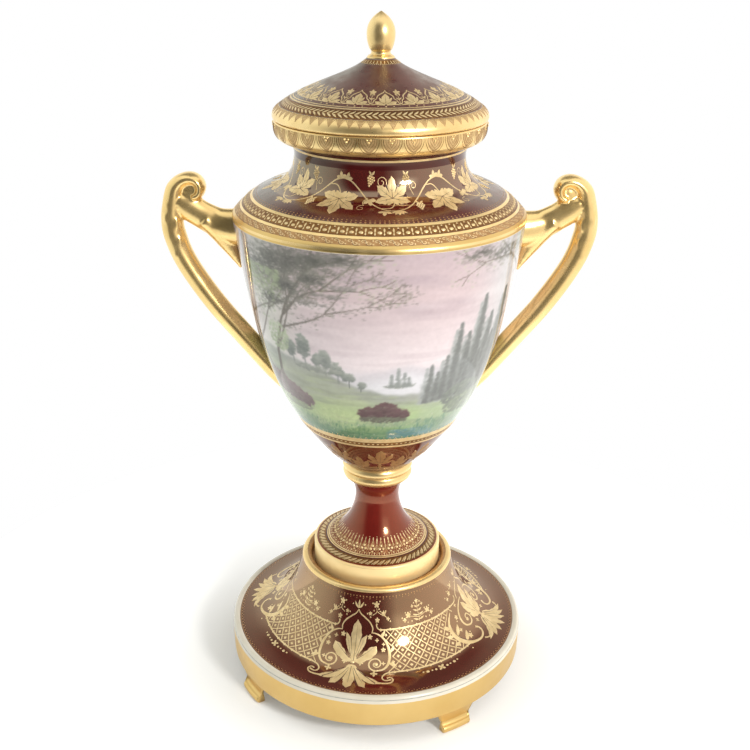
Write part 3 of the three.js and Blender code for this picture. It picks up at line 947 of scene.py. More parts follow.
def cup_palmettes():
    """A tall palmette with the stems beside it, and a short one; each comes nine times."""
    tall = join(petal((0, 17.5), (0, 34.8), 7.6, fat=0.66, teeth=3),
                pairs(petal, ((0.4, 17.0), (6.0, 29.4), 5.4, -0.1, 0.66, 2),
                      ((0.4, 16.6), (7.4, 22.4), 4.0, -0.14, 0.6, 1)),
                petal((0, 16.2), (0, 8.0), 3.4, fat=0.45), dot((0, 16.4), 0.9, 0.3),
                pairs(stroke, ([(0, 8.2), (1.9, 5.4), (3.2, 3.0)], 0.6),
                      ([(0, 16.4), (2.8, 12.2), (5.4, 10.2), (8.6, 11.6), (12.2, 11.0)],
                       (0.5, 0.8, 0.9, 0.8, 0.5))))
    short = join(petal((0, 11.5), (0, 26.0), 6.2, fat=0.66, teeth=3),
                 pairs(petal, ((0.4, 11.4), (4.8, 21.6), 4.6, -0.1, 0.66, 1),
                       ((0.3, 11.0), (5.4, 15.8), 3.4, -0.14, 0.6)),
                 petal((0, 10.6), (0, 4.4), 2.0, fat=0.45))
    return tall, short


def cup_ornament(film, outline):
    film.skin = Skin(outline, "cup", "shoulder", CUP_REACH)
    tall, short = cup_palmettes()
    at_tall, at_short = around(9, 2.4), around(9, 22.4)
    film.add("amber", tall, at_tall)
    film.add("amber", short, at_short)
    film.add("ink", join(vein([(0, 18.5), (0, 31.5)], (0.7, 0.2)),
                         both(vein([(1.0, 18.4), (3.9, 26.2)], (0.55, 0.2)))), at_tall)
    film.add("ink", vein([(0, 13), (0, 23)], (0.6, 0.2)), at_short)
    film.add("amber", both(floret((5.2, 5.6), 1.3, 4)), at_tall)
    film.add("gilt", dot((0, 29.2), 0.6), around(9, 12.0) + around(9, 32.8))
    film.add("gilt", speck((0, 42.0), 0.62), around(112))
    half = CUP_REACH * math.pi / SCALLOPS
    scallop = stroke([(-half, 46.4), (0, 47.9), (half, 46.4)], 0.85, step=0.6)
    film.add("gilt", join(scallop, speck((0, 48.9), 0.4)), around(SCALLOPS))


def vine_leaf(size=1.0):
    """A five-lobed vine leaf that points up from its stalk at (0, 0)."""
    lobes = ((90, 11.8, 7.8), (38, 11.2, 7.6), (142, 11.2, 7.6), (-14, 9.8, 6.8),
             (194, 9.8, 6.8), (-56, 5.2, 4.2), (236, 5.2, 4.2))
    return each(petal, *[((0, 0), polar(length * size, angle), width * size, 0, 0.54, 3)
                         for angle, length, width in lobes])


def vine_veins(size=1.0):
    """The veins of a vine leaf and the dark notches between its lobes."""
    parts = [thin([polar(3.6 * size, angle), polar(8.4 * size, angle)], (0.3, 1.9), OVER)
             for angle in (64, 116, 12, 168)]
    for angle, length in ((90, 9.8), (38, 9.2), (142, 9.2), (-14, 7.6), (194, 7.6)):
        tip = polar(length * size, angle)
        parts.append(thin([(0, 0), tip], (1.0, 0.25), OVER))
        for side in (-1, 1):
            start = tip * 0.42
            turn = angle + side * math.degrees(0.75)
            parts.append(thin([start, start + polar(length * size * 0.26, turn)], (0.5, 0.12), OVER))
    return join(*parts)


def grapes(at, direction):
    """A hanging bunch: rows of drops that narrow to one."""
    drops = [(((k - (count - 1) / 2) * 1.25, -1.15 * row), 0.66, 0.3)
             for row, count in enumerate((3, 4, 3, 2, 1)) for k in range(count)]
    return put(each(dot, *drops), at, turn=direction)


def vine_wave():
    """One sixth of the neck's vine: an upright leaf over the dip of the stem, a hanging leaf
    under its crest, and what grows between them."""
    reach = NECK_REACH * math.tau / VINE_WAVES
    half = reach / 2
    u = np.linspace(-half, half, 13)
    stem = list(zip(u, 35.2 - 9.9 * np.cos(math.tau * u / reach)))
    small = each(petal, *[((0, 0), polar(length, angle), 3.0, 0, 0.62, 1)
                          for angle, length in ((100, 3.9), (35, 3.6), (165, 3.6))])
    fringe = each(petal, *[((0, 0), polar(1, angle) * (4.4, 4.0), 2.1, 0, 0.62)
                           for angle in (-150, -122, -94, -66, -38)])
    return join(
        stroke(stem, 1.0, step=1.0),
        put(vine_leaf(), (0, 35.0)), put(vine_leaf(1.1), (half, 33.6), turn=180),
        each(stroke, ([(0.1, 35), (0.5, 31), (-1.6, 28), (-6.2, 27.6)], (0.6, 0.8, 0.8, 0.6)),
             ([(half, 33.6), (half - 0.6, 37.6), (half - 3.6, 41.2), (half - 8.2, 41.4)],
              (0.6, 0.8, 0.8, 0.5)),
             ([(-3.2, 44.0), (-3.6, 41.4), (-8.4, 38.6)], 0.45),
             ([(10.8, 41.0), (12.6, 36.6)], 0.45),
             ([(-15.4, 29.6), (-16.2, 32.6), (-13.6, 35.2)], 0.42)),
        each(put, (small, (half - 1.4, 44.6)), (small, (half + 2.4, 44.4), -25),
             (fringe, (2.0, 25.6), 6), (small, (-4.6, 24.9), 165),
             (small, (-12.9, 34.0), -170, 1.1)),
        each(grapes, ((-12.2, 46.2), -18), ((8.6, 46.6), 14), ((14.2, 30.6), -6)),
        each(petal, ((-12.2, 47), (-13.9, 49.3), 1.7), ((-12, 47), (-10.4, 49.2), 1.7),
             ((8.6, 47.2), (7.0, 49.2), 1.6), ((8.8, 47.2), (10.6, 49.0), 1.6),
             ((14.2, 31), (12.0, 32.8), 1.6), ((14.4, 31), (16.4, 32.6), 1.6)),
        each(spiral, ((-6.2, 43.6), 10, 470, 3.0, 0.7, 0.45, 0.45),
             ((13.2, 41.6), 200, -240, 2.5, 0.6, 0.45, 0.45),
             ((-16.6, 27.6), 60, 480, 2.4, 0.6, 0.42, 0.42)))


def vine_wave_veins():
    half = NECK_REACH * math.pi / VINE_WAVES
    return join(put(vine_veins(), (0, 35.0)), put(vine_veins(1.1), (half, 33.6), turn=180))


def shoulder_ornament(film, outline):
    film.skin = Skin(outline, "shoulder", "mouth", NECK_REACH)
    turns = around(VINE_WAVES, 7.0)
    film.add("gilt", vine_wave(), turns)
    film.add("ink", vine_wave_veins(), turns)
    film.add("amber", each(speck, ((0, 15.9), 0.55), ((0, 17.3), 0.42)), around(180))
    bead = join(dot((0, 9.7), 0.95, 0.3), petal((1.75, 12.4), (1.75, 9.6), 1.1, fat=0.4),
                petal((1.75, 8.0), (1.75, 9.8), 0.8, fat=0.4), speck((0, 12.5), 0.5))
    film.add("gilt", bead, around(100))
    film.add("ink", join(speck((0, 11.5), 0.34), thin([(-1.75, 8.0), (0, 7.75), (1.8, 8.0)], 0.3)),
             around(100))
    scrolls = join(spiral((-0.9, 4.4), -60, 300, 1.15, 0.35, 0.42, 0.42, 0.5),
                   spiral((1.3, 3.4), 120, 480, 1.1, 0.35, 0.42, 0.42, 0.5),
                   each(speck, ((2.5, 4.9), 0.4), ((-2.3, 2.9), 0.4)))
    film.add("gilt", scrolls, around(72))
    film.add("ink", thin([(-2.5, 5.4), (-0.6, 5.6), (0.6, 2.4), (2.5, 2.3)], 0.3), around(72))


def mouth_ornament(film, outline):
    """Pointed lappets under the rim, each of nested lines with three raised drops."""
    film.skin = Skin(outline, "mouth", "mouth_top", MOUTH_REACH)
    turns = around(32, 5.5)
    tongue = stroke([(0, 12.3), (0, 9.4), (0, 7.0), (0, 5.2), (0, 3.6)],
                    (9.8, 9.8, 7.4, 3.6, 0.3), step=0.6, lift=0.05)
    film.add("etched", tongue, turns)
    for w, tip in ((5.0, 3.4), (3.9, 4.8), (2.8, 6.2), (1.7, 7.6)):
        side = [(w, 12.2), (w, 9.2 + (tip - 3.4) * 0.3), (w * 0.62, tip + 2.0), (0, tip)]
        film.add("bronze", both(stroke(side, 0.42, step=0.7, across=2, lift=0.12)), turns)
    film.add("gold", each(dot, ((-0.95, 11.3), 0.72, 0.5), ((0.95, 11.3), 0.72, 0.5),
                          ((0, 9.9), 0.72, 0.5)), turns)


def body_ornament(outline, finishes):
    film = Film("body_gilding", "body")
    cup_ornament(film, outline)
    shoulder_ornament(film, outline)
    mouth_ornament(film, outline)
    film.build(finishes)


# ---- ornament of the lid ----

LID_REACH = 50.0
ARCHES = 18
TRIANGLES = 66


def lid_arch():
    """One of the eighteen ogee arches round the dome, with its leaf and the flower between."""
    half = LID_REACH * math.pi / ARCHES
    return join(
        both(stroke([(0, 33.0), (0.9, 31.2), (3.2, 29.6), (5.2, 27.6), (5.6, 25.2), (7.0, 23.8),
                     (7.6, 21.6), (half, 20.2)], (0.7, 1.0, 1.15, 1.15, 0.9, 1.0, 0.9, 0.7))),
        petal((0, 20.6), (0, 29.6), 6.2, fat=0.66),
        pairs(petal, ((0.4, 20.2), (6.6, 22.6), 4.2, -0.1, 0.62),
              ((0.2, 20.2), (4.2, 26.2), 3.0, 0, 0.6), ((0.6, 19.4), (4.2, 20.2), 1.5, 0.2),
              ((half - 0.2, 19.6), (half - 3.9, 19.8), 1.4, -0.2)),
        stroke([(half, 20.2), (half, 28.8)], 0.55), put(floret((0, 0), 2.9), (half, 30.9)),
        both(join(petal((half, 24.2), (half + 1.9, 26.2), 1.3),
                  speck((half + 1.1, 27.9), 0.42)), half),
        speck((0, 18.4), 0.6),
        pairs(speck, ((half / 2, 18.6), 0.5), ((half / 2 + 1.6, 21.4), 0.4)))


def lid_ornament(outline, finishes):
    film = Film("lid_gilding", "lid")
    film.skin = Skin(outline, "edge", "dome_top", LID_REACH)
    turns = around(ARCHES, 3.4)
    film.add("gilt", lid_arch(), turns)
    film.add("ink", join(vein([(0, 21.4), (0, 27.6)], (0.6, 0.15)),
                         both(vein([(1.0, 20.9), (4.0, 22.8)], (0.45, 0.15)))), turns)
    laurel = each(petal, ((-1.1, 11.7), (2.0, 14.1), 1.5, -0.1), ((-1.1, 11.4), (2.0, 9.0), 1.5, 0.1))
    film.add("gilt", laurel, around(108))
    film.add("ink", each(thin, ([(-1.4, 12.4), (1.2, 14.4)], 0.3), ([(-1.4, 10.7), (1.2, 8.7)], 0.3)),
             around(108))
    half = LID_REACH * math.pi / TRIANGLES
    triangles = around(TRIANGLES, 0.8)
    film.add("etched", petal((0, 8.2), (0, 3.0), half * 1.7, fat=0.02, lift=0.05), triangles)
    hatch = [([(-half * 0.86 * (v - 3.0) / 4.9, v), (half * 0.86 * (v - 3.0) / 4.9, v)], 0.26, 0.1)
             for v in (4.4, 5.3, 6.2, 7.1)]
    film.add("amber", join(each(thin, *hatch), both(thin([(0, 2.8), (half * 0.95, 7.8)], 0.3, 0.1))),
             triangles)
    film.add("gilt", speck((0, 58.6), 1.6), around(30))
    film.add("gilt", speck((0, 57.4), 0.8), around(60))
    film.build(finishes)


# ---- the painted band: a landscape of this script's own, brushed on with seeded dabs ----

PICTURE_REACH = 70.0
PICTURE_COLUMNS = 620
PICTURE_ROWS = 159
PICTURE_SEED = 1907
PICTURE_LIFT = 0.05

MAUVE = (178, 163, 168)
ROSE = (196, 180, 182)
PEARL = (216, 207, 208)
HAZE = (212, 212, 215)
MIST = (186, 189, 190)
FAR_HILL = (186, 182, 187)
SLATE = (112, 114, 112)
SAGE = (140, 146, 132)
MOSS = (156, 168, 130)
STRAW = (186, 196, 152)
MEADOW = (166, 184, 142)
TEAL = (88, 126, 112)
POOL = (104, 138, 146)
PLUM = (88, 64, 65)
HEATHER = (114, 86, 88)
BARK = (118, 110, 102)


class Canvas:
    """A strip of colour that closes on itself: u runs round it and v up it, in millimetres.
    Colours are kept on the usual 0 to 255 scale until the strip is laid on the vase."""

    def __init__(self, height):
        self.rng = np.random.default_rng(PICTURE_SEED)
        self.round = PICTURE_REACH * math.tau
        self.height = height
        self.cols, self.rows = 2 * PICTURE_COLUMNS, 2 * (PICTURE_ROWS + 1)
        self.fine_u, self.fine_v = self.round / self.cols, height / self.rows
        self.u = (np.arange(self.cols) + 0.5) * self.fine_u - self.round / 2
        self.v = (np.arange(self.rows) + 0.5) * self.fine_v
        self.color = np.zeros((self.rows, self.cols, 3))

    def cloud(self, long, tall, layers=3):
        """Seamless soft noise with a spread of one; its patches are long by tall."""
        total = np.zeros((self.rows, self.cols))
        ku = np.fft.fftfreq(self.cols, self.fine_u)[None, :]
        kv = np.fft.fftfreq(self.rows, self.fine_v)[:, None]
        for layer in range(layers):
            keep = np.exp(-10 * ((ku * long) ** 2 + (kv * tall) ** 2) * 0.25**layer)
            white = self.rng.standard_normal(total.shape)
            soft = np.fft.ifft2(np.fft.fft2(white) * keep).real
            total += soft / soft.std() * 0.55**layer
        return (total - total.mean()) / total.std()

    def line(self, places):
        """A smooth height for every column, through (u, v) places that go once round."""
        p = np.array(places, float)
        p = np.vstack([p[-1] - (self.round, 0), p, p[0] + (self.round, 0)])
        heights = np.interp(self.u, p[:, 0], p[:, 1])
        k = np.fft.fftfreq(self.cols, self.fine_u)
        return np.fft.ifft(np.fft.fft(heights) * np.exp(-10 * (k * 9.0) ** 2)).real

    def below(self, heights, soft):
        """1 under a line and 0 over it, softly."""
        return 1 / (1 + np.exp(np.clip((self.v[:, None] - heights) / soft, -30, 30)))

    def near(self, u, width):
        """1 at one place round the strip, fading away to both sides."""
        away = (self.u - u + self.round / 2) % self.round - self.round / 2
        return np.exp(-(away / width) ** 2)[None, :]

    def wash(self, color, cover):
        self.color += (np.array(color, float) - self.color) * np.clip(cover, 0, 1)[..., None]

    def dab(self, u, v, long, wide, turn, color, cover):
        """One soft oval touch of the brush, drawn out along a direction in radians."""
        reach = max(long, wide)
        rows = np.arange(max(0, int((v - reach) / self.fine_v)),
                         min(self.rows, int((v + reach) / self.fine_v) + 2))
        first = (u - reach + self.round / 2) / self.fine_u
        cols = np.arange(int(first), int(first + 2 * reach / self.fine_u) + 2)
        if not len(rows):
            return
        du = ((cols + 0.5) * self.fine_u - self.round / 2 - u)[None, :]
        dv = ((rows + 0.5) * self.fine_v - v)[:, None]
        c, s = math.cos(turn), math.sin(turn)
        inside = 1 - ((du * c + dv * s) / long) ** 2 - ((dv * c - du * s) / wide) ** 2
        ink = np.clip(inside * 1.6, 0, 1)[..., None] * cover
        where = np.ix_(rows, cols % self.cols)
        self.color[where] += (np.array(color, float) - self.color[where]) * ink

    def dabs(self, count, where, sizes, lean, colors, cover):
        """Many touches: where is (left, right, bottom, top), lean the middle direction and its
        spread."""
        left, right, bottom, top = where
        places = self.rng.uniform(left, right, count), self.rng.uniform(bottom, top, count)
        for u, v in zip(*places):
            size = self.rng.uniform(0.7, 1.35)
            color = mix(colors[0], colors[1], self.rng.random())
            turn = lean[0] + lean[1] * self.rng.standard_normal()
            self.dab(u, v, sizes[0] * size, sizes[1] * size, turn, color,
                     cover * self.rng.uniform(0.5, 1.0))


def mix(a, b, t):
    return tuple(p + (q - p) * t for p, q in zip(a, b))


def paint_sky(canvas):
    height = canvas.height
    stops = ((0, HAZE), (0.36, (210, 207, 212)), (0.46, (214, 204, 206)), (0.62, (205, 193, 195)),
             (0.80, ROSE), (1.0, mix(MAUVE, ROSE, 0.35)))
    at = [s * height for s, _ in stops]
    for channel in range(3):
        canvas.color[:, :, channel] = np.interp(canvas.v, at, [c[channel] for _, c in stops])[:, None]
    high = np.clip((canvas.v[:, None] - 0.42 * height) / (0.4 * height), 0, 1)
    canvas.wash(MAUVE, np.clip(canvas.cloud(30, 7) - 0.1, 0, 1.6) * 0.55 * high)
    canvas.wash(PEARL, np.clip(canvas.cloud(36, 6) - 0.3, 0, 1.5) * 0.42)
    canvas.wash(MAUVE, np.clip(canvas.cloud(26, 2.2, 2) - 0.5, 0, 1.2) * 0.22)
    for u, width in ((76, 20), (-150, 34), (170, 30)):
        canvas.wash(MIST, canvas.near(u, width) * 0.75 * (0.4 + 0.6 * high))
    canvas.wash((206, 211, 196), canvas.near(-62, 15) * 0.5 * np.ones_like(high))


def paint_land(canvas):
    """Far hills, a lake, and one long rise of meadow that comes down to the water."""
    far = canvas.line([(-200, 50), (-150, 57), (-100, 50), (-60, 47), (-24, 48), (0, 53),
                       (20, 57), (42, 52), (66, 48), (110, 49), (160, 58)])
    far = far + canvas.cloud(7, 300, 2)[0] * 0.8
    canvas.wash(FAR_HILL, canvas.below(far, 0.9) * 0.62)
    canvas.wash(HAZE, canvas.below(far - 5, 1.6) * 0.75)
    rise = canvas.line([(-205, 44), (-175, 47), (-140, 46), (-108, 51), (-82, 57), (-60, 57),
                        (-42, 53), (-24, 47), (-8, 41), (8, 37), (24, 36.5), (42, 39),
                        (60, 43), (80, 46), (105, 50), (128, 46), (160, 42), (190, 41.5)])
    rise = rise + canvas.cloud(5, 300, 2)[0] * 0.5
    crest = canvas.below(rise, 0.55)
    canvas.wash((160, 161, 156), crest)
    v = canvas.v[:, None]
    canvas.wash((166, 170, 154), crest * np.clip((rise - v) / 9, 0, 1))
    canvas.wash(MEADOW, crest * np.clip((33 - v) / 10, 0, 1))
    canvas.wash(STRAW, canvas.below(27, 4) * canvas.near(-26, 24) * 0.8)
    canvas.wash(STRAW, canvas.below(25, 4) * (canvas.near(165, 34) + canvas.near(-120, 30)) * 0.6)
    canvas.wash((118, 146, 118), np.clip((17 - v) / 11, 0, 1) * 0.85 * np.ones_like(rise))
    canvas.wash(TEAL, np.clip((8 - v) / 8, 0, 1) * 0.8 * np.ones_like(rise))
    canvas.wash(SAGE, crest * np.clip(canvas.cloud(16, 2.0) - 0.2, 0, 1) * 0.4)
    canvas.wash(STRAW, crest * np.clip(canvas.cloud(12, 1.6) - 0.5, 0, 1) * 0.3)
    return rise


def fir(canvas, u, foot, top, width, dark, light, cover=0.5):
    """A misty fir: boughs that droop outwards, wide at the foot and narrowing to the tip."""
    rng = canvas.rng
    height = top - foot
    for _ in range(int(height * (2.2 + 0.9 * width))):
        t = rng.random() ** 1.1
        half = width * ((1 - t) ** 0.8 * 0.9 + 0.1)
        off = float(np.clip(rng.normal(0, 0.5), -1.2, 1.2)) * half
        fade = min(1.0, abs(off) / (half + 0.01))
        color = mix(dark, light, 0.75 * fade + 0.25 * rng.random())
        droop = -0.5 * np.sign(off) * min(1.0, abs(off) / 1.2)
        canvas.dab(u + off, foot + t * height, 1.0 + 0.36 * half, 0.75 + 0.2 * half,
                   droop + rng.normal(0, 0.2), color, cover * (1 - 0.45 * fade) * (1 - 0.25 * t))
    for k in range(int(height / 2)):
        t = (k + 0.5) / (height / 2)
        canvas.dab(u, foot + t * height, 2.0, 0.45 + 0.5 * (1 - t), math.pi / 2,
                   mix(dark, light, 0.2 + 0.3 * t), cover * 0.6)


def crown(canvas, u, foot, height, width, dark, light):
    """A round-headed tree: a short stem under a few overlapping balls of leaves."""
    rng = canvas.rng
    for k in range(8):
        canvas.dab(u, foot + height * 0.06 * k, 1.6, 0.5, math.pi / 2, dark, 0.5)
    for _ in range(5):
        clump(canvas, u + rng.normal(0, 0.35) * width, foot + height * rng.uniform(0.45, 0.78),
              width * rng.uniform(0.5, 0.75), height * rng.uniform(0.2, 0.3), dark, light,
              int(9 * width), (1.5, 0.9))


def grove(canvas, rise, trees, dark, light, cover=0.5):
    """Trees on the rise: (u, height, half width, how far the foot is under the crest)."""
    for u, height, width, under in trees:
        foot = foot_on(canvas, rise, u, under)
        fir(canvas, u, foot, foot + height, width, dark, light, cover)


def clump(canvas, u, v, half_u, half_v, dark, light, count, size=(2.0, 1.2)):
    """A rounded bush: darker touches low down and to the left, lighter ones on its crown."""
    rng = canvas.rng
    for _ in range(count):
        a, r = rng.uniform(0, math.tau), math.sqrt(rng.random())
        du, dv = r * math.cos(a), r * math.sin(a)
        lit = np.clip(0.5 + 0.4 * dv + 0.15 * du + rng.normal(0, 0.18), 0, 1)
        canvas.dab(u + du * half_u, v + dv * half_v, size[0] * rng.uniform(0.6, 1.3),
                   size[1] * rng.uniform(0.6, 1.2), rng.uniform(-0.6, 0.9), mix(dark, light, lit),
                   rng.uniform(0.35, 0.8))


def clumps(canvas, rows, *how):
    """A bush for every row (u, v, half width, half height), all painted in the same way."""
    for row in rows:
        clump(canvas, *row, *how)


def foot_on(canvas, rise, u, under):
    """The height of a tree's foot, a little under the crest of the rise."""
    return float(np.interp(u, canvas.u, rise)) - under


def limb(canvas, u, v, turn, length, width, bend, color, tips):
    """A tapering branch that bends and forks. Returns its own path; the places where leaves
    grow are gathered in tips."""
    rng = canvas.rng
    steps = max(3, int(length / 0.8))
    path = []
    for k in range(steps):
        t = k / steps
        turn += bend * 0.8 / length * 2 + rng.normal(0, 0.03)
        u += 0.8 * math.cos(turn)
        v += 0.8 * math.sin(turn)
        thick = max(0.26, width * (1 - 0.6 * t))
        canvas.dab(u, v, 0.95 + thick * 0.3, thick, turn, color, 0.62)
        path.append((u, v))
        if width < 1.0 and k % 4 == 3:
            tips.append((u, v))
    if length > 9:
        for side in (-1, 1):
            limb(canvas, u, v, turn + side * rng.uniform(0.2, 0.46), length * rng.uniform(0.5, 0.7),
                 width * 0.58, side * rng.uniform(-0.12, 0.14), color, tips)
    tips.append((u, v))
    return path


def leaves(canvas, tips, per_tip, scatter, dark, light, cover=0.55):
    rng = canvas.rng
    for u, v in tips:
        for _ in range(per_tip):
            canvas.dab(u + rng.normal(0, scatter[0]), v + rng.normal(0, scatter[1]),
                       rng.uniform(0.6, 1.25), rng.uniform(0.34, 0.62), rng.uniform(-0.5, 0.5),
                       mix(dark, light, rng.random()), cover * rng.uniform(0.5, 1.1))


def canopy(canvas, u, v, half_u, half_v, count, dark, light):
    """A mass of hanging foliage that thins out downwards."""
    rng = canvas.rng
    for _ in range(count):
        du = rng.uniform(-1, 1)
        dv = 1 - abs(rng.normal(0, 0.48)) * (1 - 0.45 * abs(du))
        canvas.dab(u + du * half_u, v + dv * half_v, rng.uniform(0.9, 2.1), rng.uniform(0.5, 0.9),
                   rng.uniform(-0.45, 0.35), mix(dark, light, rng.random()),
                   rng.uniform(0.2, 0.55))


def tuft(canvas, u, v, half_u, half_v, count, dark, light):
    """A hanging cluster of leaves: dense in its middle, feathered along its drooping edge."""
    rng = canvas.rng
    for _ in range(count):
        du = float(np.clip(rng.normal(0, 0.5), -1.3, 1.3))
        dv = float(np.clip(rng.normal(0, 0.5), -1.3, 1.3))
        away = min(1.0, math.hypot(du, dv))
        canvas.dab(u + du * half_u, v + dv * half_v - 0.12 * abs(du) * half_u,
                   rng.uniform(0.9, 2.0), rng.uniform(0.45, 0.8), 0.25 * rng.normal() - 0.2,
                   mix(dark, light, 0.7 * away + 0.3 * rng.random()),
                   rng.uniform(0.25, 0.6) * (1 - 0.5 * away))


def paint_woods(canvas, rise):
    """The misty fir wood on the right, round trees on the rise, an island in the lake, and the
    trees that go on round the back."""
    wood = [(77, 58, 8.5, 12), (66, 47, 7.5, 11), (71, 36, 7.0, 13), (58, 60, 6.5, 11),
            (50.5, 41, 6.0, 10), (62, 28, 6.0, 13), (44, 48, 5.0, 10), (38.5, 30, 4.4, 9),
            (54, 24, 5.0, 12), (34, 20, 3.6, 8), (29.5, 26, 3.2, 8)]
    for u, tall, width, _ in wood:
        canvas.wash((168, 170, 170), canvas.near(u, width * 1.2) * 0.16
                    * canvas.below(30.0 + tall * 0.75, 5.0))
    grove(canvas, rise, [(u - 2.6, h * 0.94, w, d) for u, h, w, d in wood],
          (152, 156, 155), (176, 177, 176), 0.34)
    grove(canvas, rise, wood, SLATE, (150, 153, 150), 0.5)
    on_rise = [(-16, 9, 3.0), (-22, 13, 3.8), (-29, 18, 4.6), (-34, 12, 3.6), (-41, 20, 5.0),
               (-49, 15, 4.6), (-9.5, 6, 2.2)]
    for u, tall, width in on_rise:
        crown(canvas, u, foot_on(canvas, rise, u, 1.5), tall, width, (124, 128, 125),
              (160, 164, 156))
    clump(canvas, -34.0, 51.0, 15.0, 2.0, (136, 139, 133), (160, 163, 154), 120, (1.8, 0.8))
    clump(canvas, 12.0, 43.4, 8.5, 1.3, (140, 143, 138), (160, 163, 156), 80, (1.7, 0.6))
    for u, tall in ((7.5, 8), (11, 12), (14.5, 9), (17, 6)):
        fir(canvas, u, 43, 43 + tall, 1.7, (134, 138, 136), (160, 163, 160), 0.5)
    far_side = [(118 + 5.1 * k, 24 + 22 * abs(math.sin(1.7 * k)), 4.4, 6) for k in range(11)]
    far_side += [(205 + 5.4 * k, 20 + 16 * abs(math.sin(1.3 * k)), 4.0, 6) for k in range(5)]
    grove(canvas, rise, far_side, (120, 124, 122), (156, 159, 155), 0.46)
    for k in range(8):
        u = -156 + 6.2 * k
        crown(canvas, u, foot_on(canvas, rise, u, 2), 12 + 11 * abs(math.sin(2.3 * k + 1)), 4.6,
              (124, 128, 124), (162, 166, 156))


def paint_near(canvas):
    """Bushes, the bough across the sky, and the grass and water at the foot of the picture."""
    clump(canvas, 58, 30, 17, 8, (112, 116, 112), (140, 146, 136), 330)
    clump(canvas, 66, 21, 20, 7, (118, 126, 114), (148, 156, 138), 330)
    clumps(canvas, ((-4, 23.5, 8.5, 4.6), (5, 25.5, 7.5, 5.6), (13, 22.5, 7.0, 4.0)),
           PLUM, HEATHER, 210, (1.9, 1.1))
    clump(canvas, 4, 18.4, 15, 2.0, (96, 94, 84), (116, 120, 102), 120, (2.2, 0.8))
    clumps(canvas, ((-70, 33, 13, 8), (-59, 29, 10, 6.6), (-50, 26, 6.5, 4.8)),
           (104, 86, 86), (142, 126, 126), 280, (2.3, 1.2))
    clump(canvas, -60, 20, 14, 2.6, (120, 128, 108), (150, 158, 130), 120, (2.2, 0.8))
    clumps(canvas, ((134, 27, 12, 6), (146, 29, 9, 7), (186, 24, 12, 5), (194, 26, 6, 5),
                    (-130, 27, 12, 5.5), (-119, 29, 8, 6.5), (-176, 25, 13, 5.5)),
           PLUM, (146, 128, 124), 210)
    flat, tall = (0.0, 0.12), (1.4, 0.35)
    lake = POOL, (132, 160, 160)
    for count, where, size, lean, colors, cover in (
            (900, (-220, 220, 15, 29), (2.2, 0.6), (0.0, 0.25), (SAGE, MOSS), 0.14),
            (1300, (-220, 220, 1, 16), (1.7, 0.5), tall, (TEAL, MOSS), 0.34),
            (420, (-58, -6, 1, 14), (1.8, 0.5), (1.4, 0.4), ((84, 122, 96), (140, 164, 128)), 0.42),
            (240, (-46, -14, 9, 24), (1.9, 0.55), (1.3, 0.5), (MEADOW, (196, 206, 160)), 0.45),
            (300, (8, 42, 2, 9.5), (2.6, 0.5), flat, lake, 0.5),
            (200, (26, 52, 6, 16), (1.8, 0.6), (1.2, 0.5), ((82, 122, 112), MOSS), 0.42),
            (260, (130, 190, 2, 10), (2.6, 0.5), flat, lake, 0.45),
            (150, (-50, 50, 2, 20), (0.55, 0.5), (0, 1), ((206, 200, 196), STRAW), 0.5)):
        canvas.dabs(count, where, size, lean, colors, cover)
    for u, lean, bend in ((-66.0, 1.50, -0.3), (-74.0, 1.70, 0.2), (104.0, 1.66, 0.2)):
        tips = []
        trunk = limb(canvas, u, 26, lean, 58, 2.1, bend, BARK, tips)
        leaves(canvas, tips, 3, (3.4, 2.2), (128, 134, 116), (186, 196, 162), 0.4)
        for part, turn, length, width in ((0.55, 0.75, 31, 1.2), (0.82, 0.35, 32, 0.9)):
            tips = []
            limb(canvas, *trunk[int(part * len(trunk))], turn, length, width, 0.12,
                 (128, 120, 114), tips)
            leaves(canvas, tips, 8, (3.0, 1.5), (104, 100, 94), (152, 150, 138), 0.45)
    for u, v, wide, tall, count in ((-66, 106, 19, 15, 620), (-53, 111, 19, 12, 600),
                                    (-40, 114, 17, 9, 480), (-28, 116, 14, 7, 340),
                                    (-17, 117.5, 12, 4.5, 200), (-46, 99, 13, 6, 260),
                                    (-31, 105, 11, 4.5, 180), (-58, 90, 12, 7, 240),
                                    (66, 114, 18, 7, 260), (50, 117, 14, 4.5, 150)):
        tuft(canvas, u, v, wide, tall, count, (86, 84, 80), (140, 140, 130))
    canopy(canvas, -64, 82, 14, 24, 400, (140, 149, 122), (178, 188, 156))
    clump(canvas, -58, 66, 8, 9, (156, 166, 138), (186, 194, 168), 200, (1.3, 0.8))
    clumps(canvas, ((-24, 96.5, 8, 1.3), (-33, 91.0, 9, 1.3), (-16, 101.5, 7, 1.3)),
           (128, 124, 120), (162, 156, 152), 46, (1.5, 0.5))
    canopy(canvas, 112, 96, 34, 26, 900, (120, 124, 116), (160, 164, 150))
    canopy(canvas, -170, 106, 30, 16, 420, (128, 126, 122), (160, 158, 150))


def landscape(height):
    """The finished strip as linear colours, one for each vertex of the painted band."""
    canvas = Canvas(height)
    paint_sky(canvas)
    rise = paint_land(canvas)
    paint_woods(canvas, rise)
    paint_near(canvas)
    grain = canvas.cloud(0.9, 0.7, 1) * 1.1
    fine = np.clip(canvas.color + grain[..., None], 0, 255) / 255
    half = fine.reshape(PICTURE_ROWS + 1, 2, PICTURE_COLUMNS, 2, 3).mean(axis=(1, 3))
    linear = np.where(half <= 0.04045, half / 12.92, ((half + 0.055) / 1.055) ** 2.4)
    return np.minimum(0.95, 1.22 * linear**1.22)


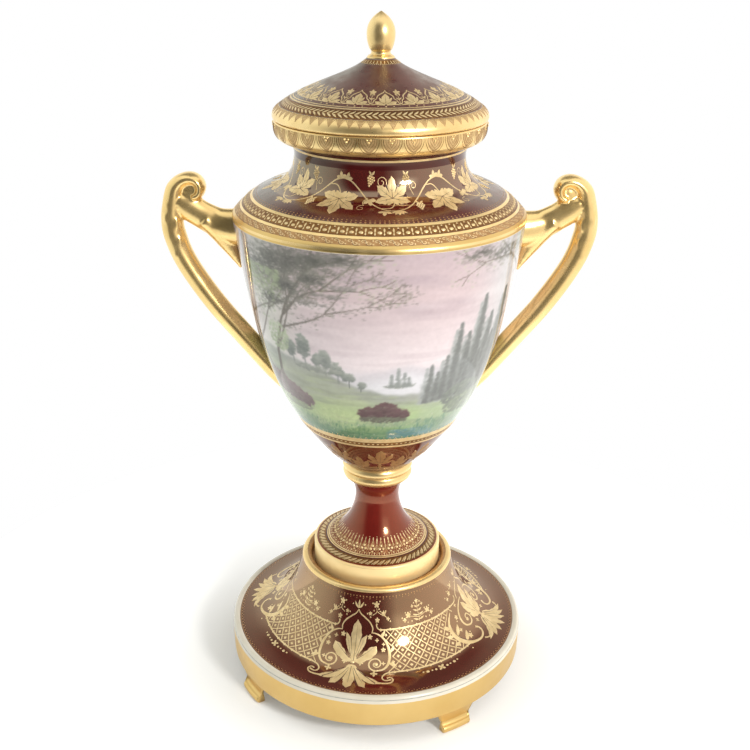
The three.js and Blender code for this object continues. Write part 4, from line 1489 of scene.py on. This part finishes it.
def picture_glaze():
    """Enamel colours under a clear glossy glaze; the colour comes from the painted vertices."""
    material, tree, shader = shader_of("painted_enamel", Coat_Weight=1.0, Coat_Roughness=0.025,
                                       Coat_IOR=1.5, Specular_IOR_Level=0.0)
    pigment = pooled(tree, 500, 3, 0.3, (0.965, 0.965, 0.97), (1.0, 1.0, 1.0))
    paint = node(tree, "Attribute", attribute_name="paint")["Color"]
    tint = node(tree, "Mix", {"Factor": 1.0, "A": paint, "B": pigment}, data_type="RGBA",
                blend_type="MULTIPLY")["Result"]
    feed(tree, shader, {"Base Color": tint, "Roughness": worn(tree, 260, 2, 0.26, 0.36)})
    return material


def build_picture(outline):
    """The painting as a thin skin of its own over the vase's white body."""
    skin = Skin(outline, "cup", "shoulder", PICTURE_REACH)
    height = PICTURE_HIGH - PICTURE_LOW
    n = PICTURE_COLUMNS
    v = PICTURE_LOW + height * np.linspace(0, 1, PICTURE_ROWS + 1)
    u = PICTURE_REACH * math.tau * (np.arange(n) / n - 0.5)
    lift = np.full(len(v), PICTURE_LIFT)
    lift[0] = lift[-1] = EDGE_DIP
    sheet = np.stack([np.tile(u, len(v)), np.repeat(v, n), np.repeat(lift, n)], 1)
    row = np.arange(PICTURE_ROWS)[:, None] * n
    k = np.arange(n)[None, :]
    j = (k + 1) % n
    quads = np.stack([row + k, row + j, row + n + j, row + n + k], 2).reshape(-1, 4)
    mesh = array_mesh("body_painting", skin.place(sheet, 0), [quads], [picture_glaze()])
    colors = np.ones((len(sheet), 4))
    colors[:, :3] = landscape(height).reshape(-1, 3)
    layer = mesh.color_attributes.new("paint", "FLOAT_COLOR", "POINT")
    layer.data.foreach_set("color", colors.ravel())
    piece = new_object("body_painting", mesh)
    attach(piece, "root")
    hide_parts("body")


# ---- handles ----

STRAP = [(53, 190.5, 5.2), (61.9, 201.2, 6.2), (78, 221, 6.25), (95.1, 242.6, 6.3),
         (109.2, 265.2, 6.3), (115, 281, 6.5), (116, 292, 6.2)]
SCROLL = [(-8, 15, 5.4), (20, 12.9, 4.6), (52, 11.3, 3.9), (88, 10.7, 3.5), (120, 10.3, 3.3),
          (151, 9.3, 3.1), (184, 7.9, 2.9), (217, 6.6, 2.6), (251, 5.2, 2.3)]
BRANCH = [(111.5, 301, 5), (107, 297.8, 8), (99.8, 293, 7.8), (92, 288.8, 8.4),
          (86, 286.8, 9.6), (81, 286.0, 10.4), (76, 286.0, 10.8)]
SPUR = [(97.5, 290.4, 5.4), (91.0, 284.6, 6.2), (86.0, 277.6, 5.4), (82.2, 270.8, 3.7),
        (79.7, 265.6, 2.1), (78.4, 262.2, 1.0)]
# lobes of the leaf that wraps the top of the strap: place and half sizes (x, z)
LEAF_LOBES = [(115.8, 298.6, 3.2, 4.4), (117.9, 291.4, 2.3, 5.0), (113.4, 288.6, 2.3, 5.2),
              (116.4, 282.0, 2.1, 5.0), (112.0, 277.8, 1.9, 5.0), (113.8, 271.8, 1.8, 4.8),
              (109.4, 266.4, 1.6, 4.6)]
VOLUTE_EYE = (104.6, 306.2)
HANDLE_DEPTH = 6.3
HANDLE_VOXEL = 0.62


def rail(stations, step):
    """A smooth path with its half thickness, through (x, z, half thickness) stations."""
    p = np.array(stations, float)
    line, knot = smooth_line(p[:, :2], step)
    return line, np.interp(knot, np.arange(len(p)), p[:, 2])


def bar(line, half, depth, ridge, sides=28):
    """A closed bar with an oval section, and a soft ridge along its front and back."""
    along = np.gradient(line, axis=0)
    along /= np.linalg.norm(along, axis=1)[:, None]
    side = np.stack([along[:, 1], -along[:, 0]], 1)
    a = math.tau * np.arange(sides) / sides
    swell = 1 + ridge * np.exp(-((np.abs(np.sin(a)) - 1) / 0.10) ** 2)
    x, z = (line[:, None, k] + side[:, None, k] * half[:, None] * np.cos(a) for k in (0, 1))
    y = np.broadcast_to(depth, half.shape)[:, None] * (np.sin(a) * swell)
    return tube(np.stack([x, y, z], 2))


def ball(centre, radii, rings=10, sides=18):
    rows = [(math.cos(t), math.sin(t)) for t in np.linspace(-math.pi / 2, math.pi / 2, rings + 1)]
    verts = [(centre[0] + radii[0] * c * math.cos(a), centre[1] + radii[1] * s,
              centre[2] + radii[2] * c * math.sin(a))
             for c, s in rows for a in math.tau * np.arange(sides) / sides]
    quads = [(i * sides + k, i * sides + (k + 1) % sides, (i + 1) * sides + (k + 1) % sides,
              (i + 1) * sides + k) for i in range(rings) for k in range(sides)]
    return np.array(verts), np.array(quads), np.zeros((0, 3), int)


def handle_shape():
    """Strap, scroll, branch and the small bosses of the right handle, as overlapping solids."""
    scroll_line = [(VOLUTE_EYE[0] + (r - t) * math.cos(math.radians(a)),
                    VOLUTE_EYE[1] + (r - t) * math.sin(math.radians(a)), t) for a, r, t in SCROLL]
    branch, spur = rail(BRANCH, 1.1), rail(SPUR, 0.9)
    swell = 6.0 + 3.4 * np.maximum(0, np.linspace(0, 1, len(branch[0])) - 0.55) / 0.45
    taper = np.linspace(7.4, 2.0, len(spur[0]))
    eye = ball((VOLUTE_EYE[0] - 0.4, 0, VOLUTE_EYE[1] - 0.3), (6.6, 4.4, 6.6))
    lobes = [ball((x, y * 0.72, z), (wide, 2.1, tall)) for x, z, wide, tall in LEAF_LOBES
             for y in (-HANDLE_DEPTH, HANDLE_DEPTH)]
    return [bar(*rail(STRAP + scroll_line, 1.1), HANDLE_DEPTH, 0.07), bar(*branch, swell, 0.02),
            bar(*spur, taper, 0.0), eye] + lobes


def build_handles(finishes):
    """Each handle is fused from its solids into one smooth skin, then eased."""
    for name, turn in (("handle_right", 0.0), ("handle_left", math.pi)):
        solids = handle_shape()
        verts, quads = join(*[(points, four) for points, four, _ in solids])
        tris = join(*[(points, three) for points, _, three in solids])[1]
        piece = new_object(name, array_mesh(name, verts, [quads, tris], [finishes["bright"]]))
        fuse = piece.modifiers.new("fuse", "REMESH")
        fuse.mode = "VOXEL"
        fuse.voxel_size = HANDLE_VOXEL * M
        ease = piece.modifiers.new("ease", "SMOOTH")
        ease.factor, ease.iterations = 0.5, 12
        apply_modifiers(piece)
        piece.data.transform(Matrix.Rotation(turn, 4, "Z"))
        piece.data.shade_smooth()
        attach(piece, "root")
        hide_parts("body")


def apply_modifiers(piece):
    graph = bpy.context.evaluated_depsgraph_get()
    graph.update()
    made = bpy.data.meshes.new_from_object(piece.evaluated_get(graph))
    old, piece.data = piece.data, made
    piece.modifiers.clear()
    bpy.data.meshes.remove(old)
    if not made.materials:
        raise RuntimeError("a material was lost")


# ---- bracket feet ----

BRACKETS = 4
BRACKET_FIRST = 32.0
BRACKET_WIDTH = 19.0
BRACKET_SPREAD = 3.4
TOE_R = 2.3


def bracket_section():
    """The S-shaped plate seen from its side: (radius, height) points, and the rolled toe."""
    t = np.linspace(0, 1, 12)
    inner = bezier([(87.6, 15.5), (86.4, 12), (86.2, 8.5), (87.4, 5.5)], t)
    heel = np.array([(87.0, 2.6), (86.8, 0.5), (87.3, 0.0), (90.0, 0.0)])
    a = np.radians(np.linspace(-84, 88, 12))
    toe = np.stack([90.2 + TOE_R * np.cos(a), TOE_R + TOE_R * np.sin(a)], 1)
    outer = bezier([(89.3, 6.3), (89.8, 10.5), (91.2, 13.4), (91.7, 15.5)], t)
    return np.vstack([inner, heel, toe, outer])


def bracket_foot(name, turn, finishes):
    section = bracket_section()
    middle = section.mean(axis=0)
    cuts = np.concatenate([[-1, -0.985, -0.955], np.linspace(-0.9, 0.9, 15), [0.955, 0.985, 1]])
    shrink = np.interp(np.abs(cuts), (0.9, 0.955, 0.985, 1), (0, 0.06, 0.22, 0.55))
    rows = []
    for cut, inset in zip(cuts, shrink):
        r, z = (section + (middle - section) * inset * np.array([0.35, 0.04])).T
        flare = BRACKET_SPREAD * np.clip((z - 7.5) / 7.0, 0, 1) ** 2.2
        curl = 0.9 * np.exp(-((z - 7.0) / 1.6) ** 2)
        angle = math.radians(turn) + cut * (BRACKET_WIDTH / 2 + flare - curl) / r
        rows.append(np.stack([r * np.sin(angle), -r * np.cos(angle), z], 1))
    verts, quads, tris = tube(np.array(rows), flip=True)
    piece = new_object(name, array_mesh(name, verts, [quads, tris], [finishes["satin"]]))
    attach(piece, "root")
    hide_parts("stand")


def build_feet(finishes):
    # the CAD counts its brackets from +X; here directions start at the front
    for k, turn in enumerate(around(BRACKETS, BRACKET_FIRST + 90.0)):
        bracket_foot("bracket_foot_%d" % (k + 1), turn, finishes)


# ---- studio ----

FLOOR_R = 0.32
WHITE = (1, 1, 1, 1)


def studio():
    """A round of white paper whose glow grows outwards, so that its edge meets the white."""
    scene = bpy.context.scene
    scene.view_settings.view_transform = "Standard"
    rim = [(FLOOR_R * math.cos(a), FLOOR_R * math.sin(a), 0) for a in np.radians(around(96))]
    floor_mesh = bpy.data.meshes.new("floor")
    floor_mesh.from_pydata(rim, [], [tuple(range(len(rim)))])
    floor = new_object("floor", floor_mesh)
    material, tree, shader = shader_of("floor_paper", Roughness=0.9)
    out = node(tree, "VectorMath", {0: object_place(tree)}, operation="LENGTH")["Value"]
    feed(tree, shader, {"Base Color": (0.88, 0.88, 0.88, 1), "Emission Color": WHITE,
                        "Emission Strength": span(tree, out, 0.10, 0.29, 0.11, 0.80)})
    floor_mesh.materials.append(material)
    studio_world(scene)
    lamp("key", (0.47, -0.72, 0.63), (0, 0, 0.2), 0.19, 5.4, (1.0, 0.98, 0.94))


def lamp(name, where, aim, size, power, color):
    data = bpy.data.lights.new(name, "AREA")
    data.shape = "DISK"
    data.size = size
    data.energy = power
    data.color = color
    light = new_object(name, data)
    light.location = where
    light.rotation_euler = (Vector(aim) - Vector(where)).to_track_quat("-Z", "Y").to_euler()


# how bright the room is round the front, by azimuth in degrees, where the gloss shows it
ROUND = ((-112, 1.0), (-82, 0.84), (-60, 0.58), (-49, 0.18), (-42, 0.03), (4, 0.05), (16, 0.30),
         (28, 0.66), (60, 0.80), (88, 0.92), (112, 1.0))
# heights over which that holds, and the darker place high behind: middle, half width, softness
FRONT_UP = (12, 36, 13)
REAR_ACROSS = (180, 40, 22)
REAR_UP = (74, 24, 26)
REAR_SHARE = 0.86
# a brighter place round the window
GLOW_ACROSS = (34, 8, 12)
GLOW_UP = (26, 12, 12)
GLOW_SHARE = -0.7
ROOM_LIGHT = 1.3


def studio_world(scene):
    """A white tent with a dark room seen through its openings; the camera sees it plain white."""
    world = bpy.data.worlds.new("studio")
    scene.world = world
    world.use_nodes = True
    tree = world.node_tree

    def calc(kind, *values):
        return node(tree, "Math", dict(enumerate(values)), operation=kind)[0]

    def window(value, centre, half, soft):
        """1 inside centre +- half, falling to 0 over soft outside it."""
        away = calc("ABSOLUTE", calc("SUBTRACT", value, centre))
        return span(tree, away, half, half + soft, 1.0, 0.0, interpolation_type="SMOOTHSTEP")

    place = node(tree, "TexCoord")["Generated"]
    x, y, z = node(tree, "SeparateXYZ", {0: place})
    azimuth = calc("MULTIPLY", calc("ARCTAN2", x, calc("MULTIPLY", y, -1.0)), 180 / math.pi)
    height = calc("MULTIPLY", calc("ARCSINE", z), 180 / math.pi)
    ring = tree.nodes.new("ShaderNodeValToRGB")
    part = calc("DIVIDE", calc("ADD", azimuth, 180.0), 360.0)
    tree.links.new(part, ring.inputs["Fac"])
    stops = ring.color_ramp.elements
    for at, value in ROUND:
        stops.new((at + 180) / 360).color = (value, value, value, 1)
    stops[0].color = stops[-1].color = WHITE
    shade = calc("MULTIPLY", calc("SUBTRACT", 1.0, ring.outputs["Color"]), window(height, *FRONT_UP))
    level = calc("MULTIPLY", calc("SUBTRACT", 1.0, shade), ROOM_LIGHT)
    for value, across, up, share in (
            (calc("ABSOLUTE", azimuth), REAR_ACROSS, REAR_UP, REAR_SHARE),
            (azimuth, GLOW_ACROSS, GLOW_UP, GLOW_SHARE)):
        seen = calc("MULTIPLY", window(value, *across), window(height, *up))
        level = calc("MULTIPLY", level, calc("SUBTRACT", 1.0, calc("MULTIPLY", seen, share)))
    tint = tree.nodes.new("ShaderNodeValToRGB")
    tree.links.new(span(tree, x, -0.7, 0.7, 0.0, 1.0), tint.inputs["Fac"])
    tint.color_ramp.elements[0].color = (0.93, 0.97, 0.94, 1)
    tint.color_ramp.elements[1].color = (1.0, 0.97, 0.93, 1)
    room = tree.nodes["Background"]
    feed(tree, room, {"Color": tint.outputs["Color"], "Strength": level})
    plain = node(tree, "Background", {"Color": WHITE})["Background"]
    for_camera = node(tree, "LightPath")["Is Camera Ray"]
    pick = node(tree, "MixShader", {"Fac": for_camera, 1: room.outputs["Background"], 2: plain})
    feed(tree, tree.nodes["World Output"], {"Surface": pick["Shader"]})


# ---- the turned pieces, and everything in order ----

def build_turned(finishes):
    """The four porcelain pieces; gives back their outlines for the ornament."""
    outlines = {"stand": stand_outline(), "foot": foot_outline(), "body": body_outline(),
                "lid": lid_outline()}
    for node, outline in outlines.items():
        piece = turned(node + "_porcelain", outline, finishes)
        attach(piece, "root")
        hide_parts(node)
    return outlines


make_camera()
FINISHES = make_finishes()
OUTLINES = build_turned(FINISHES)
stand_ornament(OUTLINES["stand"], FINISHES)
foot_ornament(OUTLINES["foot"], FINISHES)
build_picture(OUTLINES["body"])
body_ornament(OUTLINES["body"], FINISHES)
lid_ornament(OUTLINES["lid"], FINISHES)
build_handles(FINISHES)
build_feet(FINISHES)
studio()
